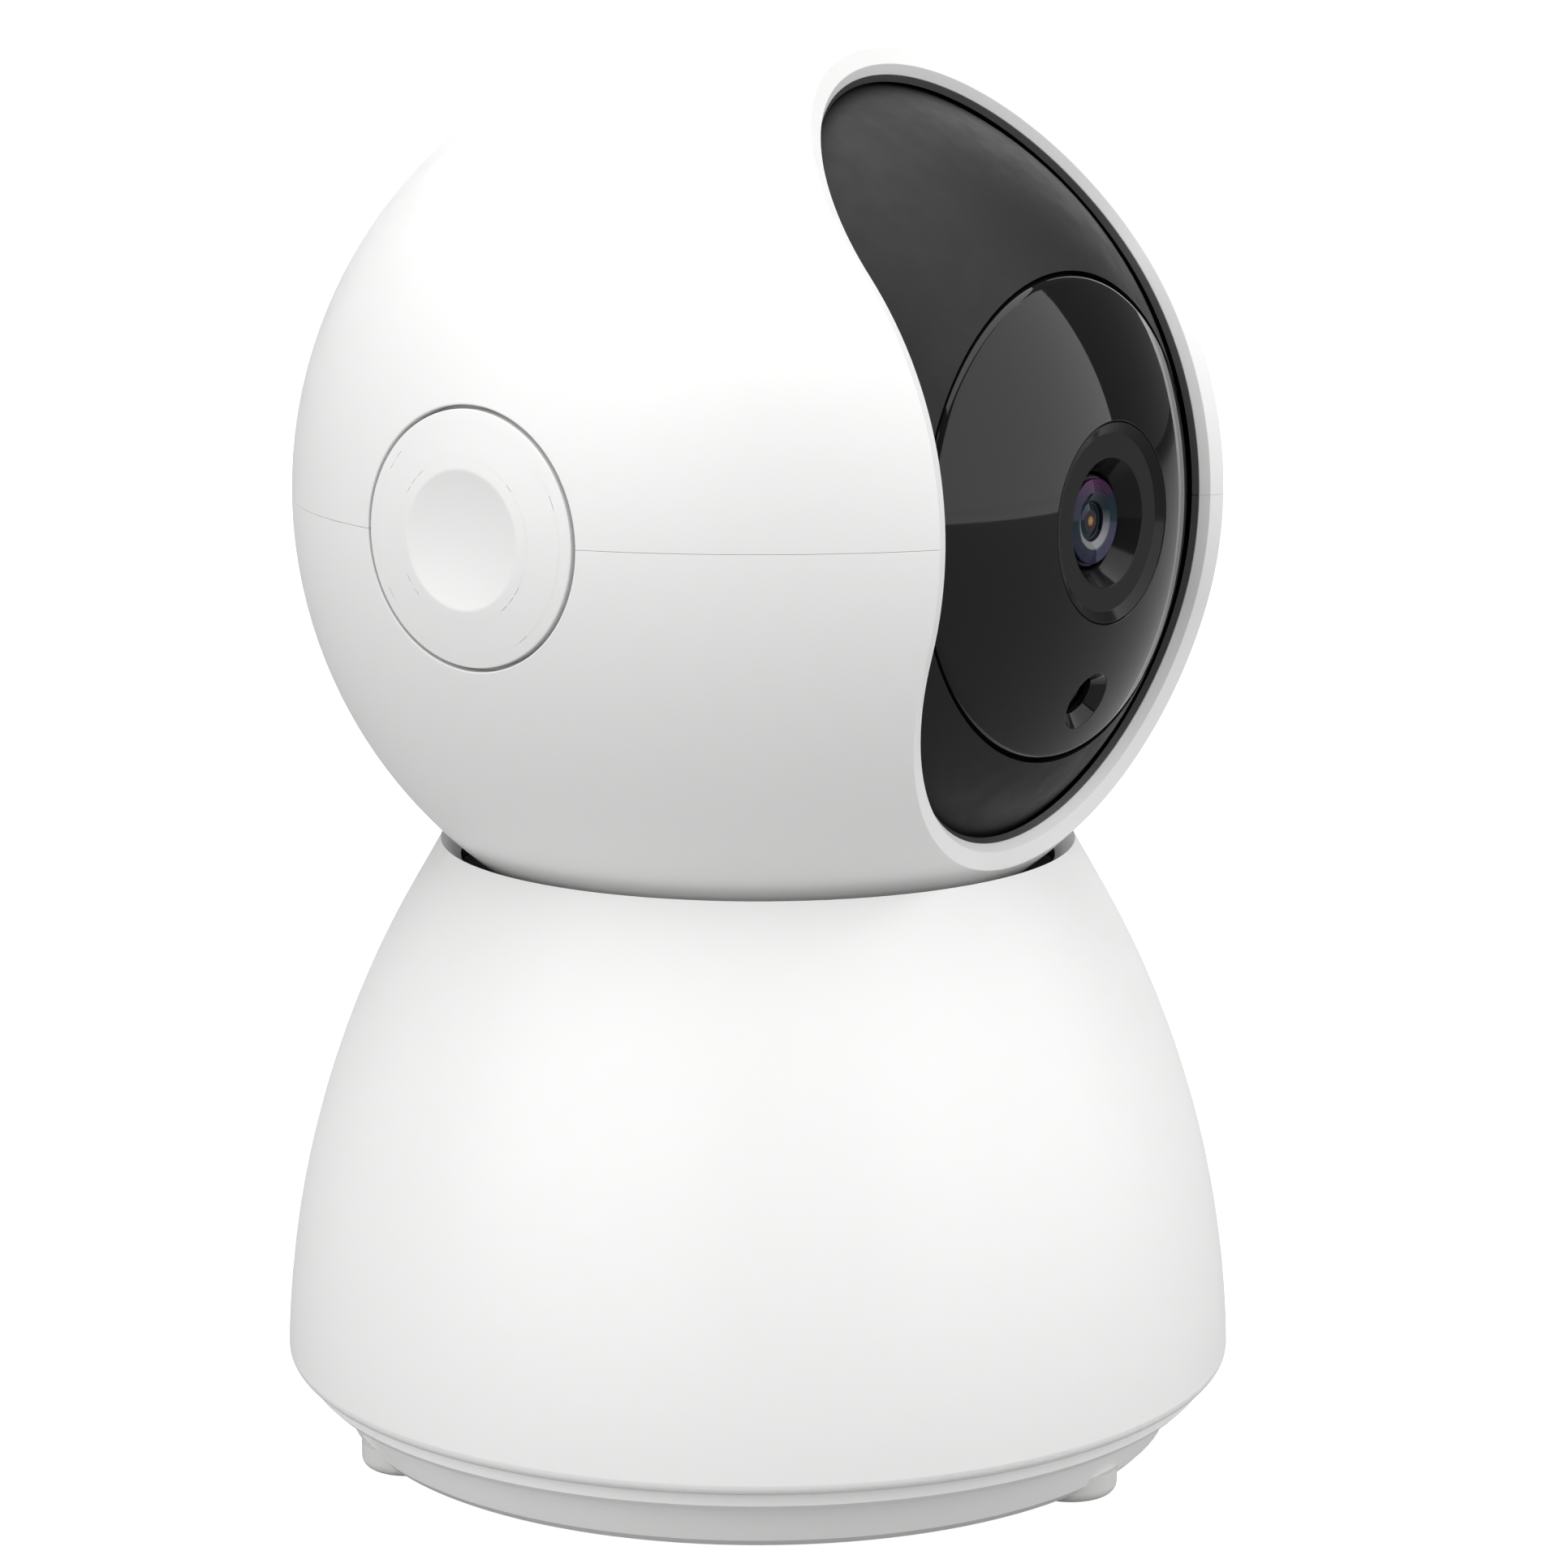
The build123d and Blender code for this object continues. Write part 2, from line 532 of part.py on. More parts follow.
# ---------------------------------------------------------------- base
def base_outline(inset, low):
    """Half outline of the dome, inset from the outside, from height low to the neck."""
    radius = BASE_ARC_R - inset
    mid_x = BASE_MAX_R - BASE_ARC_R

    def at(angle):
        return (mid_x + radius * math.cos(angle), 0, BASE_ARC_Z + radius * math.sin(angle))

    first = math.asin((low - BASE_ARC_Z) / radius)
    last = math.radians(BASE_ARC_END)
    top = at(last)
    rise = NECK_Z - top[2]
    neck = (top[0] - rise * math.tan(last), 0, NECK_Z)
    return ThreePointArc(at(first), at((first + last) / 2), top), Line(top, neck)


def base_solid(inset, low):
    arc, shoulder = base_outline(inset, low)
    start, end = arc @ 0, shoulder @ 1
    edges = [arc, shoulder, Line(end, (0, 0, end.Z)), Line((0, 0, end.Z), (0, 0, start.Z)),
             Line((0, 0, start.Z), start)]
    return revolve(make_face(Wire(edges)), Axis.Z)


def radial_rib(x, y, start, low, high, half=0.9):
    """Upright rib from a post out towards the shell's wall."""
    turn = Rot(0, 0, math.degrees(math.atan2(y, x)))
    return turn * block(start, BASE_MAX_R, -half, half, low, high)


def base_shell():
    shell = base_solid(0, SHELL_FOOT_Z)
    foot = shell.edges().group_by(Axis.Z)[0]
    shell = fillet(foot, 1.0)
    inside = base_solid(BASE_WALL, SHELL_FOOT_Z - 0.5)
    shell -= inside
    shell -= ball(NECK_SEAT_R)
    for x, y in BASE_BOSSES:
        post = rod_z(BASE_BOSS_R, 9.6, 22, x, y) + radial_rib(x, y, BASE_BOSS_AT, 9.6, 22)
        shell += post & base_solid(0.8, SHELL_FOOT_Z)
        shell -= rod_z(SCREW_R, 8, 17, x, y)
    for x, y in BOWL_POSTS:
        top = BOWL_EAR_TOP - BOWL_EAR_THICK
        post = rod_z(2.6, 34.0, top, x, y) + radial_rib(x, y, BOWL_POST_AT, 34.0, top)
        shell += post & base_solid(0.8, SHELL_FOOT_Z)
        shell -= rod_z(SCREW_R, BOWL_EAR_TOP - 8.5, BOWL_EAR_TOP, x, y)
    return shell - port_prism(0.05)


def port_prism(grow, face=PORT_FACE_Y):
    """Prism of the rear port panel, an arch of three arcs, running in through the shell."""
    side_r, top_r = PORT_SIDE_R + grow, PORT_TOP_R + grow
    side_x = PORT_HALF - PORT_SIDE_R
    apart = PORT_SIDE_R - PORT_TOP_R
    top_z = math.sqrt(apart ** 2 - side_x ** 2)
    lean = math.atan2(top_z, -side_x)

    def on_side(angle):
        return side_x + side_r * math.cos(angle), side_r * math.sin(angle)

    foot = math.asin(-grow / side_r)
    start, middle, join = on_side(foot), on_side((foot + lean) / 2), on_side(lean)
    mirrored = [(-x, z) for x, z in (join, middle, start)]
    arch = [ThreePointArc(start, middle, join), ThreePointArc(join, (0, top_z + top_r), mirrored[0]),
            ThreePointArc(*mirrored), Line(mirrored[2], start)]
    plane = Plane(origin=(0, PORT_ROOT_Y, PORT_LOW), x_dir=(-1, 0, 0), z_dir=(0, 1, 0))
    return extrude(plane * make_face(Curve() + arch), face - PORT_ROOT_Y)


def rear_port_panel():
    """Flat face for the ports on the back of the dome."""
    panel = port_prism(0)
    rims = panel.faces().filter_by(Axis.Y).sort_by(Axis.Y)[-1].edges()
    panel = chamfer(rims, 0.5)
    panel -= port_prism(-PORT_WALL, PORT_FACE_Y - PORT_WALL)
    panel -= block(-4.4, 4.4, 30, 45, USB_Z - 1.9, USB_Z + 1.9)
    panel -= block(-5.9, 5.9, 38.9, 45, USB_Z - 3.3, USB_Z + 3.3)
    panel -= block(-6.2, 6.2, 30, 45, CARD_Z - 0.8, CARD_Z + 0.8)
    panel -= rod_y(4.0, 39.3, 45, 0, CARD_Z)
    return panel - rod_y(RESET_R + 0.1, 30, 45, 0, RESET_Z)


def bottom_cover():
    profile = [(0, RING_LOW_Z), (RING_LOW_R - 0.6, RING_LOW_Z), (RING_LOW_R, RING_LOW_Z + 0.6),
               (RING_TOP_R, 5.2), (LIP_R - 0.5, 5.3), (LIP_R, LIP_LOW + 0.2), (LIP_R, LIP_TOP),
               (38.2, LIP_TOP), (38.2, 8.2), (36.8, 8.2), (36.8, 7.2), (34.6, 5.4),
               (33.4, COVER_FLOOR), (0, COVER_FLOOR)]
    cover = turned(profile)
    for x, y in BASE_BOSSES:
        cover += rod_z(BASE_BOSS_R, 2.9, 9.6, x, y)
        cover -= rod_z(SCREW_R + SCREW_FIT, 0, 12, x, y)
        cover -= rod_z(SCREW_HEAD_R + 0.3, 0, 3.6, x, y)
    for x, y in FEET:
        cover -= rod_z(FOOT_R + 0.02, 0, FOOT_TOP, x, y)
    for ring, count in ((0, 1), (2.6, 6), (5.2, 12)):
        for x, y in on_circle(count, ring):
            cover -= rod_z(0.7, 0, 4, SPEAKER_X + x, y)
    return cover


def rubber_feet():
    feet = []
    for x, y in FEET:
        pad = rod_z(FOOT_R, 0, FOOT_TOP, x, y)
        feet.append(fillet(pad.edges().group_by(Axis.Z)[0], 0.9))
    return feet


def base_screws():
    """Three cover screws and three bowl screws."""
    cover = [screw_z(x, y, 3.6, 11.0) for x, y in BASE_BOSSES]
    bowl = [screw_z(x, y, BOWL_EAR_TOP, 7.0, up=False) for x, y in BOWL_POSTS]
    return cover + bowl


def neck_bowl():
    """Dark dish under the head, with the hub that carries the pan spindle."""
    def at(radius, r):
        return (r, 0, HEAD_Z - math.sqrt(radius ** 2 - r ** 2))

    edge, well, outer = 25.6, 14.0, BOWL_R + BOWL_WALL
    arcs = [ThreePointArc(at(BOWL_R, edge), at(BOWL_R, 20.5), at(BOWL_R, well)),
            ThreePointArc(at(outer, well + 2), at(outer, 21.5), at(outer, edge))]
    corners = [arcs[0] @ 1, (well, 0, HUB_FLOOR), (8.5, 0, HUB_FLOOR), (8.5, 0, 30.7),
               (10.6, 0, 30.7), (10.6, 0, HUB_FLOOR - 1.8), (well + 2, 0, HUB_FLOOR - 1.8),
               arcs[1] @ 0]
    lines = [Line(a, b) for a, b in zip(corners, corners[1:])]
    lines.append(Line(arcs[1] @ 1, arcs[0] @ 0))
    bowl = revolve(make_face(Wire([arcs[0], *lines[:-1], arcs[1], lines[-1]])), Axis.Z)
    for x, y in BOWL_POSTS:
        ear = rod_z(2.6, BOWL_EAR_TOP - BOWL_EAR_THICK, BOWL_EAR_TOP, x, y)
        turn = Rot(0, 0, math.degrees(math.atan2(y, x)))
        arm = turn * block(18, BOWL_POST_AT, -2.6, 2.6, BOWL_EAR_TOP - BOWL_EAR_THICK, BOWL_EAR_TOP)
        bowl += (ear + arm) - ball(BOWL_R + 0.5)
        bowl -= rod_z(SCREW_R + SCREW_FIT, 30, 50, x, y)
    for x, y in MOTOR_POSTS:
        bowl += rod_z(2.2, MOTOR_PLATE_TOP, HUB_FLOOR - 0.4, x, y)
        bowl -= rod_z(SCREW_R, MOTOR_PLATE_TOP - 1, MOTOR_PLATE_TOP + 5, x, y)
    return bowl


def pan_bush():
    bush = rod_z(8.5, 31.0, HUB_FLOOR)
    return bush - rod_z(SPINDLE_R + RUN_FIT, 20, 45)


def motor_plate():
    """Steel plate under the gears, hung from two posts of the bowl."""
    low = MOTOR_PLATE_TOP - MOTOR_PLATE_THICK
    plate = rod_z(12.5, low, MOTOR_PLATE_TOP, 0, -PAN_CENTRES)
    plate += block(-17.0, 17.0, -11.6, -5.6, low, MOTOR_PLATE_TOP)
    plate -= rod_z(8.6, low - 1, MOTOR_PLATE_TOP + 1)
    plate -= rod_z(4.2, low - 1, MOTOR_PLATE_TOP + 1, 0, -PAN_CENTRES)
    for x, y in MOTOR_POSTS:
        plate -= rod_z(SCREW_R + SCREW_FIT, low - 1, MOTOR_PLATE_TOP + 1, x, y)
    return plate


def pan_motor():
    """Geared stepping motor below the plate; its boss passes through it."""
    low = MOTOR_PLATE_TOP - MOTOR_PLATE_THICK
    y = -PAN_CENTRES
    can = rod_z(12.0, low - 14.0, low, 0, y) + rod_z(4.2, low, MOTOR_PLATE_TOP + 0.6, 0, y)
    can += block(-4.0, 4.0, y - 14.6, y - 10.0, low - 12.0, low - 5.0)
    return can - rod_z(SHAFT_R + RUN_FIT, low - 9.0, 40, 0, y)


def pan_shaft():
    return rod_z(SHAFT_R, MOTOR_PLATE_TOP - 9.6, PAN_GEAR_TOP + 0.2, 0, -PAN_CENTRES)


def plate_screws():
    return [screw_z(x, y, MOTOR_PLATE_TOP - MOTOR_PLATE_THICK, 5.4) for x, y in MOTOR_POSTS]


def ballast_plate():
    """Steel weight on the floor of the base, cut away over the speaker and the board."""
    plate = rod_z(28.6, COVER_FLOOR, COVER_FLOOR + 3.0)
    plate -= rod_z(12.5, 2, 8, SPEAKER_X, 0)
    return plate - block(-14, 14, 26.0, 36, 2, 8)


def speaker():
    frame = turned([(11.8, 0), (11.8, 1.4), (8.0, 4.2), (8.0, 7.2), (0, 7.2), (0, 4.0),
                    (6.0, 1.2), (10.4, 0)], 3.05)
    return Pos(SPEAKER_X, 0, 0) * frame


def main_pcb():
    """Upright board behind the ports."""
    board = block(-13.0, 13.0, IO_BOARD_Y, IO_BOARD_Y + 1.2, 6.6, 32.0)
    board += block(-7.0, 7.0, IO_BOARD_Y - 1.4, IO_BOARD_Y, 14.0, 26.0)
    board += block(-11.0, 11.0, IO_BOARD_Y - 4.0, IO_BOARD_Y, 27.4, 31.0)
    return board + block(8.4, 12.0, IO_BOARD_Y - 2.0, IO_BOARD_Y, 9.0, 13.0)


def usb_socket():
    """Open metal shell with its tongue, on the outer side of the board."""
    start, mouth = IO_BOARD_Y + 1.2, 38.4
    shell = block(-4.0, 4.0, start, mouth, USB_Z - 1.55, USB_Z + 1.55)
    shell -= block(-3.6, 3.6, start + 1.0, mouth + 1, USB_Z - 1.15, USB_Z + 1.15)
    return shell + block(-2.6, 2.6, start + 0.8, mouth - 0.6, USB_Z - 0.35, USB_Z + 0.35)


def card_socket():
    start, mouth = IO_BOARD_Y + 1.2, 38.2
    tray = block(-7.2, 7.2, start, mouth, CARD_Z - 1.3, CARD_Z + 1.3)
    return tray - block(-5.8, 5.8, start + 1.2, mouth + 1, CARD_Z - 0.6, CARD_Z + 0.6)


def reset_switch():
    start = IO_BOARD_Y + 1.2
    return block(-2.4, 2.4, start, start + 2.2, RESET_Z - 1.7, RESET_Z + 1.7)


def reset_button():
    """Stem between the switch and the rear panel, set back from the face."""
    foot = IO_BOARD_Y + 4.1
    stem = rod_y(RESET_R, foot, PORT_FACE_Y - 0.5, 0, RESET_Z)
    return stem + rod_y(RESET_R + 0.6, foot, foot + 2.5, 0, RESET_Z)


def wifi_antenna():
    """Printed strip antenna on its small board, upright beside the main board."""
    strip = block(-0.5, 0.5, -14, 14, -3.5, 3.5)
    return Pos(28.0, -3.0, 22.0) * strip


def build():
    skin = head_skin()
    keep("head_shell_upper", head_shell_upper(skin))
    keep("head_shell_lower", head_shell_lower(skin))
    liner = rim_liner()
    keep("rim_liner_upper", liner & block(-45, 45, -45, 45, HEAD_Z + SEAM, HEAD_Z + 45))
    keep("rim_liner_lower", liner & block(-45, 45, -45, 45, HEAD_Z - 45, HEAD_Z - SEAM))
    cap = side_cap()
    keep("side_cap_left", cap)
    keep("side_cap_right", Rot(0, 0, 180) * cap)
    for name, side in (("right", -1), ("left", 1)):
        keep(f"tilt_bracket_{name}", tilt_bracket(side))
        keep(f"tilt_bush_{name}", tilt_bush(side))
        keep(f"tilt_trunnion_{name}", trunnion(side))
    keep("tilt_gear", tilt_gear())
    keep("shell_dowels", *shell_dowels())
    keep("head_screws", *head_screws())
    keep("pan_spindle", pan_spindle())
    keep("pan_gear", pan_gear())
    keep("spindle_clip", spindle_clip())

    keep("eye_front_shell", eye_front_shell())
    keep("eye_rear_shell", eye_rear_shell())
    keep("eye_screws", *eye_screws())
    keep("front_panel", front_panel())
    keep("lens_bezel", lens_bezel())
    keep("lens_barrel", lens_barrel())
    keep("lens_glass", *lens_glass())
    keep("lens_mount", lens_mount())
    keep("camera_pcb", camera_pcb())
    keep("image_sensor", image_sensor())
    keep("ir_led_board", ir_led_board())
    keep("ir_leds", *ir_leds())
    keep("light_sensor", light_sensor())
    keep("tilt_motor", tilt_motor())
    keep("tilt_motor_shaft", tilt_shaft())
    keep("tilt_pinion", tilt_pinion())

    keep("base_shell", base_shell())
    keep("rear_port_panel", rear_port_panel())
    keep("bottom_cover", bottom_cover())
    keep("rubber_feet", *rubber_feet())
    keep("base_screws", *base_screws())
    keep("neck_bowl", neck_bowl())
    keep("pan_bush", pan_bush())
    keep("motor_plate", motor_plate())
    keep("plate_screws", *plate_screws())
    keep("pan_motor", pan_motor())
    keep("pan_motor_shaft", pan_shaft())
    keep("pan_pinion", pan_pinion())
    keep("ballast_plate", ballast_plate())
    keep("speaker", speaker())
    keep("main_pcb", main_pcb())
    keep("usb_socket", usb_socket())
    keep("card_socket", card_socket())
    keep("reset_switch", reset_switch())
    keep("reset_button", reset_button())
    keep("wifi_antenna", wifi_antenna())


def write():
    os.makedirs("parts", exist_ok=True)
    for name, solids in PARTS.items():
        whole = solids[0] if len(solids) == 1 else Compound(children=solids)
        export_step(whole, f"parts/{name}.step")


if __name__ == "__main__":
    build()
    write()
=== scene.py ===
"""Looks of the desktop pan and tilt security camera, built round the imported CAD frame."""

import json
import math

import bmesh
import bpy
import numpy as np
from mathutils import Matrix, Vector
from mathutils.geometry import delaunay_2d_cdt


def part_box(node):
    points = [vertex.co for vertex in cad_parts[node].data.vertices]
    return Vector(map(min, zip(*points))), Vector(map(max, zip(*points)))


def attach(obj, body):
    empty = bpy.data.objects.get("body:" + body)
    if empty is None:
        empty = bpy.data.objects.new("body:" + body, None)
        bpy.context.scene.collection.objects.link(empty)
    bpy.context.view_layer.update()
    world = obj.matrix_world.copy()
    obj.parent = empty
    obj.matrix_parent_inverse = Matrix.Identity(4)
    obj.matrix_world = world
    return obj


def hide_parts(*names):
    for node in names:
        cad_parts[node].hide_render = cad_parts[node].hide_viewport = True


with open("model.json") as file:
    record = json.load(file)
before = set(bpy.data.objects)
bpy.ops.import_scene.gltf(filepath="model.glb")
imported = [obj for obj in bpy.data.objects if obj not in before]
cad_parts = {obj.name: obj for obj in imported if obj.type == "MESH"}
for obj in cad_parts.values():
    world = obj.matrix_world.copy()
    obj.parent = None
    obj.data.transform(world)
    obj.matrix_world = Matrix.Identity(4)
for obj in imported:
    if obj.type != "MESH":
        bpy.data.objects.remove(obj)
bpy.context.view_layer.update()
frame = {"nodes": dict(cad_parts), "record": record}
nodes = frame["nodes"]

MM = 0.001


# ------------------------------------------------------------------ places read from the frame
def spans(node):
    low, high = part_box(node)
    return low / MM, high / MM


_, head_top = spans("head_shell_upper")
HEAD_R = head_top.y
HEAD_Z = head_top.z - HEAD_R
SHELL_IN = 36.9
EYE_R = 36.0
CAP_R = spans("side_cap_left")[1].y
CAP_OUT = math.sqrt(HEAD_R ** 2 - CAP_R ** 2)
PANEL_R = spans("front_panel")[1].x
SLOT_LOW, SLOT_HIGH = math.radians(-15.5), math.radians(38.9)
WALL_R, WALL_A = 37.885, math.radians(31.33)
SLOT_HALF = 21.10                          # half width of the slot at the outside
SEAM = 0.012                               # half of the gap between the head's halves


# ------------------------------------------------------------------ materials
def material(name, colour, rough, metallic=0.0, ior=1.46, coat=0.0, coat_rough=0.1):
    mat = bpy.data.materials.new(name)
    mat.use_nodes = True
    bsdf = mat.node_tree.nodes["Principled BSDF"]
    bsdf.inputs["Base Color"].default_value = (*colour, 1)
    bsdf.inputs["Roughness"].default_value = rough
    bsdf.inputs["Metallic"].default_value = metallic
    bsdf.inputs["IOR"].default_value = ior
    bsdf.inputs["Coat Weight"].default_value = coat
    bsdf.inputs["Coat Roughness"].default_value = coat_rough
    mat.diffuse_color = (*colour, 1)
    return mat, mat.node_tree, bsdf


def noise(tree, scale, detail=2.0, stretch=(1, 1, 1)):
    """Noise factor in object coordinates; scale counts features per metre."""
    coords = tree.nodes.new("ShaderNodeTexCoord")
    mapping = tree.nodes.new("ShaderNodeMapping")
    mapping.inputs["Scale"].default_value = stretch
    tree.links.new(coords.outputs["Object"], mapping.inputs["Vector"])
    tex = tree.nodes.new("ShaderNodeTexNoise")
    tex.inputs["Scale"].default_value = scale
    tex.inputs["Detail"].default_value = detail
    tree.links.new(mapping.outputs["Vector"], tex.inputs["Vector"])
    return tex.outputs["Fac"]


def ramp(tree, fac, low, high, start=0.35, end=0.65):
    """Colour or grey that runs from low to high as fac goes from start to end."""
    node = tree.nodes.new("ShaderNodeValToRGB")
    for stop, at, value in zip(node.color_ramp.elements, (start, end), (low, high)):
        stop.position = at
        stop.color = (*value, 1) if isinstance(value, tuple) else (value, value, value, 1)
    tree.links.new(fac, node.inputs["Fac"])
    return node.outputs["Color"]


def bump(tree, bsdf, height, strength, distance):
    node = tree.nodes.new("ShaderNodeBump")
    node.inputs["Strength"].default_value = strength
    node.inputs["Distance"].default_value = distance
    tree.links.new(height, node.inputs["Height"])
    tree.links.new(node.outputs["Normal"], bsdf.inputs["Normal"])


def tinted(colour, change):
    return tuple(min(1.0, max(0.0, c * (1 + change))) for c in colour)


def grained(name, colour, rough, vary=0.03, rough_vary=0.04, grain=9000, depth=4e-6, broad=60,
            strength=0.35, stretch=(1, 1, 1), **more):
    """Moulded or finished surface: broad colour and gloss change, fine grain in the bump."""
    mat, tree, bsdf = material(name, colour, rough, **more)
    cloud = noise(tree, broad, 3.0, stretch)
    tree.links.new(ramp(tree, cloud, tinted(colour, -vary), tinted(colour, vary * 0.5)),
                   bsdf.inputs["Base Color"])
    tree.links.new(ramp(tree, noise(tree, broad * 7, 4.0, stretch), rough - rough_vary,
                        rough + rough_vary), bsdf.inputs["Roughness"])
    bump(tree, bsdf, noise(tree, grain, 2.0, stretch), strength, depth)
    return mat


WHITE = grained("white_plastic", (0.85, 0.85, 0.845), 0.42, vary=0.006, depth=3e-6)
WHITE_COVER = grained("white_cover", (0.90, 0.90, 0.895), 0.50, vary=0.01, depth=5e-6)
MATTE_BLACK = grained("matte_black", (0.012, 0.012, 0.0125), 0.50, vary=0.08, grain=14000,
                      depth=8e-6, strength=0.5, ior=1.32)
LINER_BLACK = grained("liner_black", (0.048, 0.048, 0.049), 0.45, vary=0.15, grain=5000,
                      depth=12e-6, strength=0.6)
GLOSS_BLACK = grained("gloss_black", (0.006, 0.006, 0.0065), 0.035, vary=0.1, rough_vary=0.008,
                      grain=900, depth=1e-6, strength=0.05, ior=1.39)
BEZEL_BLACK = grained("bezel_black", (0.010, 0.010, 0.011), 0.12, vary=0.1, rough_vary=0.02,
                      grain=3000, depth=2e-6, strength=0.2, ior=1.28)
DARK = grained("dark_plastic", (0.055, 0.055, 0.058), 0.55, vary=0.1, grain=7000, depth=10e-6)
GREY_RUBBER = grained("grey_rubber", (0.77, 0.77, 0.76), 0.72, vary=0.03, grain=6000, depth=15e-6)
STEEL = grained("steel", (0.60, 0.60, 0.61), 0.30, metallic=1.0, stretch=(1, 1, 14), grain=2500,
                depth=3e-6)
SCREW_STEEL = grained("screw_steel", (0.46, 0.46, 0.48), 0.34, metallic=1.0, grain=5000)
CHROME = grained("chrome", (0.74, 0.74, 0.76), 0.14, metallic=1.0, grain=2500, depth=1e-6)
BRASS = grained("brass", (0.78, 0.57, 0.27), 0.26, metallic=1.0, grain=4000, depth=2e-6)
NYLON = grained("gear_nylon", (0.80, 0.78, 0.70), 0.48, vary=0.03)
ACETAL = grained("bush_plastic", (0.74, 0.73, 0.68), 0.38, vary=0.02)
BOARD = grained("board", (0.02, 0.11, 0.055), 0.30, vary=0.2, broad=400, grain=2500, depth=12e-6)
CHIP = grained("chip", (0.025, 0.025, 0.028), 0.46, grain=9000, depth=6e-6)
LED = grained("led", (0.10, 0.07, 0.14), 0.10, vary=0.1, grain=900, depth=1e-6, strength=0.1)
LENS_METAL = grained("lens_metal", (0.030, 0.030, 0.034), 0.33, metallic=0.6, grain=5000,
                     depth=3e-6)

BY_SLOT = {
    "white_shell": WHITE, "black_matte": MATTE_BLACK, "black_gloss": GLOSS_BLACK,
    "dark_plastic": DARK, "lens_glass": LED, "lens_metal": LENS_METAL, "board": BOARD,
    "chip": CHIP, "led": LED, "steel": STEEL, "screw_steel": SCREW_STEEL, "brass": BRASS,
    "gear_nylon": NYLON, "bush_plastic": ACETAL, "grey_rubber": GREY_RUBBER, "chrome": CHROME,
}
slot_of = {part["node"]: part["material_slot"] for part in frame["record"]["subparts"]}
for node_name, node in nodes.items():
    finish = BY_SLOT[slot_of[node_name]]
    if node_name == "bottom_cover":
        finish = WHITE_COVER
    if node_name.startswith("rim_liner"):
        finish = LINER_BLACK
    if node_name == "lens_bezel":
        finish = BEZEL_BLACK
    node.data.materials.clear()
    node.data.materials.append(finish)


# ------------------------------------------------------------------ mesh building
class Mesher:
    """Collects points with their own normals and faces, and makes one closed piece of them."""

    def __init__(self):
        self.points, self.normals, self.faces = [], [], []

    def add(self, points, normals):
        start = len(self.points)
        self.points += [tuple(p) for p in points]
        self.normals += [tuple(n) for n in normals]
        return list(range(start, len(self.points)))

    def strip(self, a, b):
        """Quads between two closed rows of the same length."""
        for i in range(len(a)):
            j = (i + 1) % len(a)
            self.faces.append((a[i], a[j], b[j], b[i]))

    def fan(self, row, tip):
        for i in range(len(row)):
            self.faces.append((row[i], row[(i + 1) % len(row)], tip))

    def face_outward(self, grid):
        """Turns over each separate shell whose faces look against their own normals."""
        seen = set()
        for first in grid.faces:
            if first in seen:
                continue
            seen.add(first)
            shell, waiting = [], [first]
            while waiting:
                face = waiting.pop()
                shell.append(face)
                near = {other for edge in face.edges for other in edge.link_faces} - seen
                seen |= near
                waiting += near
            against = sum(face.calc_area() * face.normal.dot(Vector(self.normals[v.index]))
                          for face in shell for v in face.verts)
            if against < 0:
                bmesh.ops.reverse_faces(grid, faces=shell)

    def piece(self, name, finish, body, slot, *replaced):
        mesh = bpy.data.meshes.new(name)
        mesh.from_pydata([(x * MM, y * MM, z * MM) for x, y, z in self.points], [], self.faces)
        mesh.materials.append(finish)
        grid = bmesh.new()
        grid.from_mesh(mesh)
        bmesh.ops.recalc_face_normals(grid, faces=grid.faces)
        self.face_outward(grid)
        grid.to_mesh(mesh)
        grid.free()
        mesh.polygons.foreach_set("use_smooth", [True] * len(mesh.polygons))
        mesh.normals_split_custom_set_from_vertices(self.normals)
        made = bpy.data.objects.new(name, mesh)
        bpy.context.scene.collection.objects.link(made)
        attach(made, body)
        if replaced:
            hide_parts(*replaced)
        return made


def unit(v):
    return np.array(v, float) / np.linalg.norm(v)


def rounded(points, radii, steps=3):
    """Profile with each inner corner turned into an arc, as (point, normal) pairs.

    The first and last points only give the directions in which the profile comes and goes.
    The normal points to the left of the way along the profile.
    """
    made = []
    for before, corner, after, radius in zip(points, points[1:], points[2:], radii):
        corner = np.array(corner, float)
        come, go = unit(corner - np.array(before)), unit(np.array(after) - corner)
        turn = math.atan2(come[0] * go[1] - come[1] * go[0], float(come @ go))
        reach = radius * math.tan(abs(turn) / 2)
        for step in range(steps + 1):
            part = turn * step / steps
            heading = np.array([come[0] * math.cos(part) - come[1] * math.sin(part),
                                come[0] * math.sin(part) + come[1] * math.cos(part)])
            left = np.array([-heading[1], heading[0]])
            if abs(turn) < 1e-3:
                place = corner + come * radius * (2 * step / steps - 1)
            else:
                centre = corner - come * reach + np.array([-come[1], come[0]]) * (
                    radius if turn > 0 else -radius)
                place = centre - left * (radius if turn > 0 else -radius)
            if not made or np.abs(made[-1][0] - place).max() > 0.008:
                made.append((place, left))
    return made


def ring(mesher, stations, profile, flip=1):
    """One row of points for each profile point; a station is (centre, lateral, axis)."""
    rows = []
    for (across, along), (n_across, n_along) in profile:
        rows.append(mesher.add([centre + lateral * across + axis * along
                                for centre, lateral, axis in stations],
                               [(lateral * n_across + axis * n_along) * flip
                                for centre, lateral, axis in stations]))
    return rows


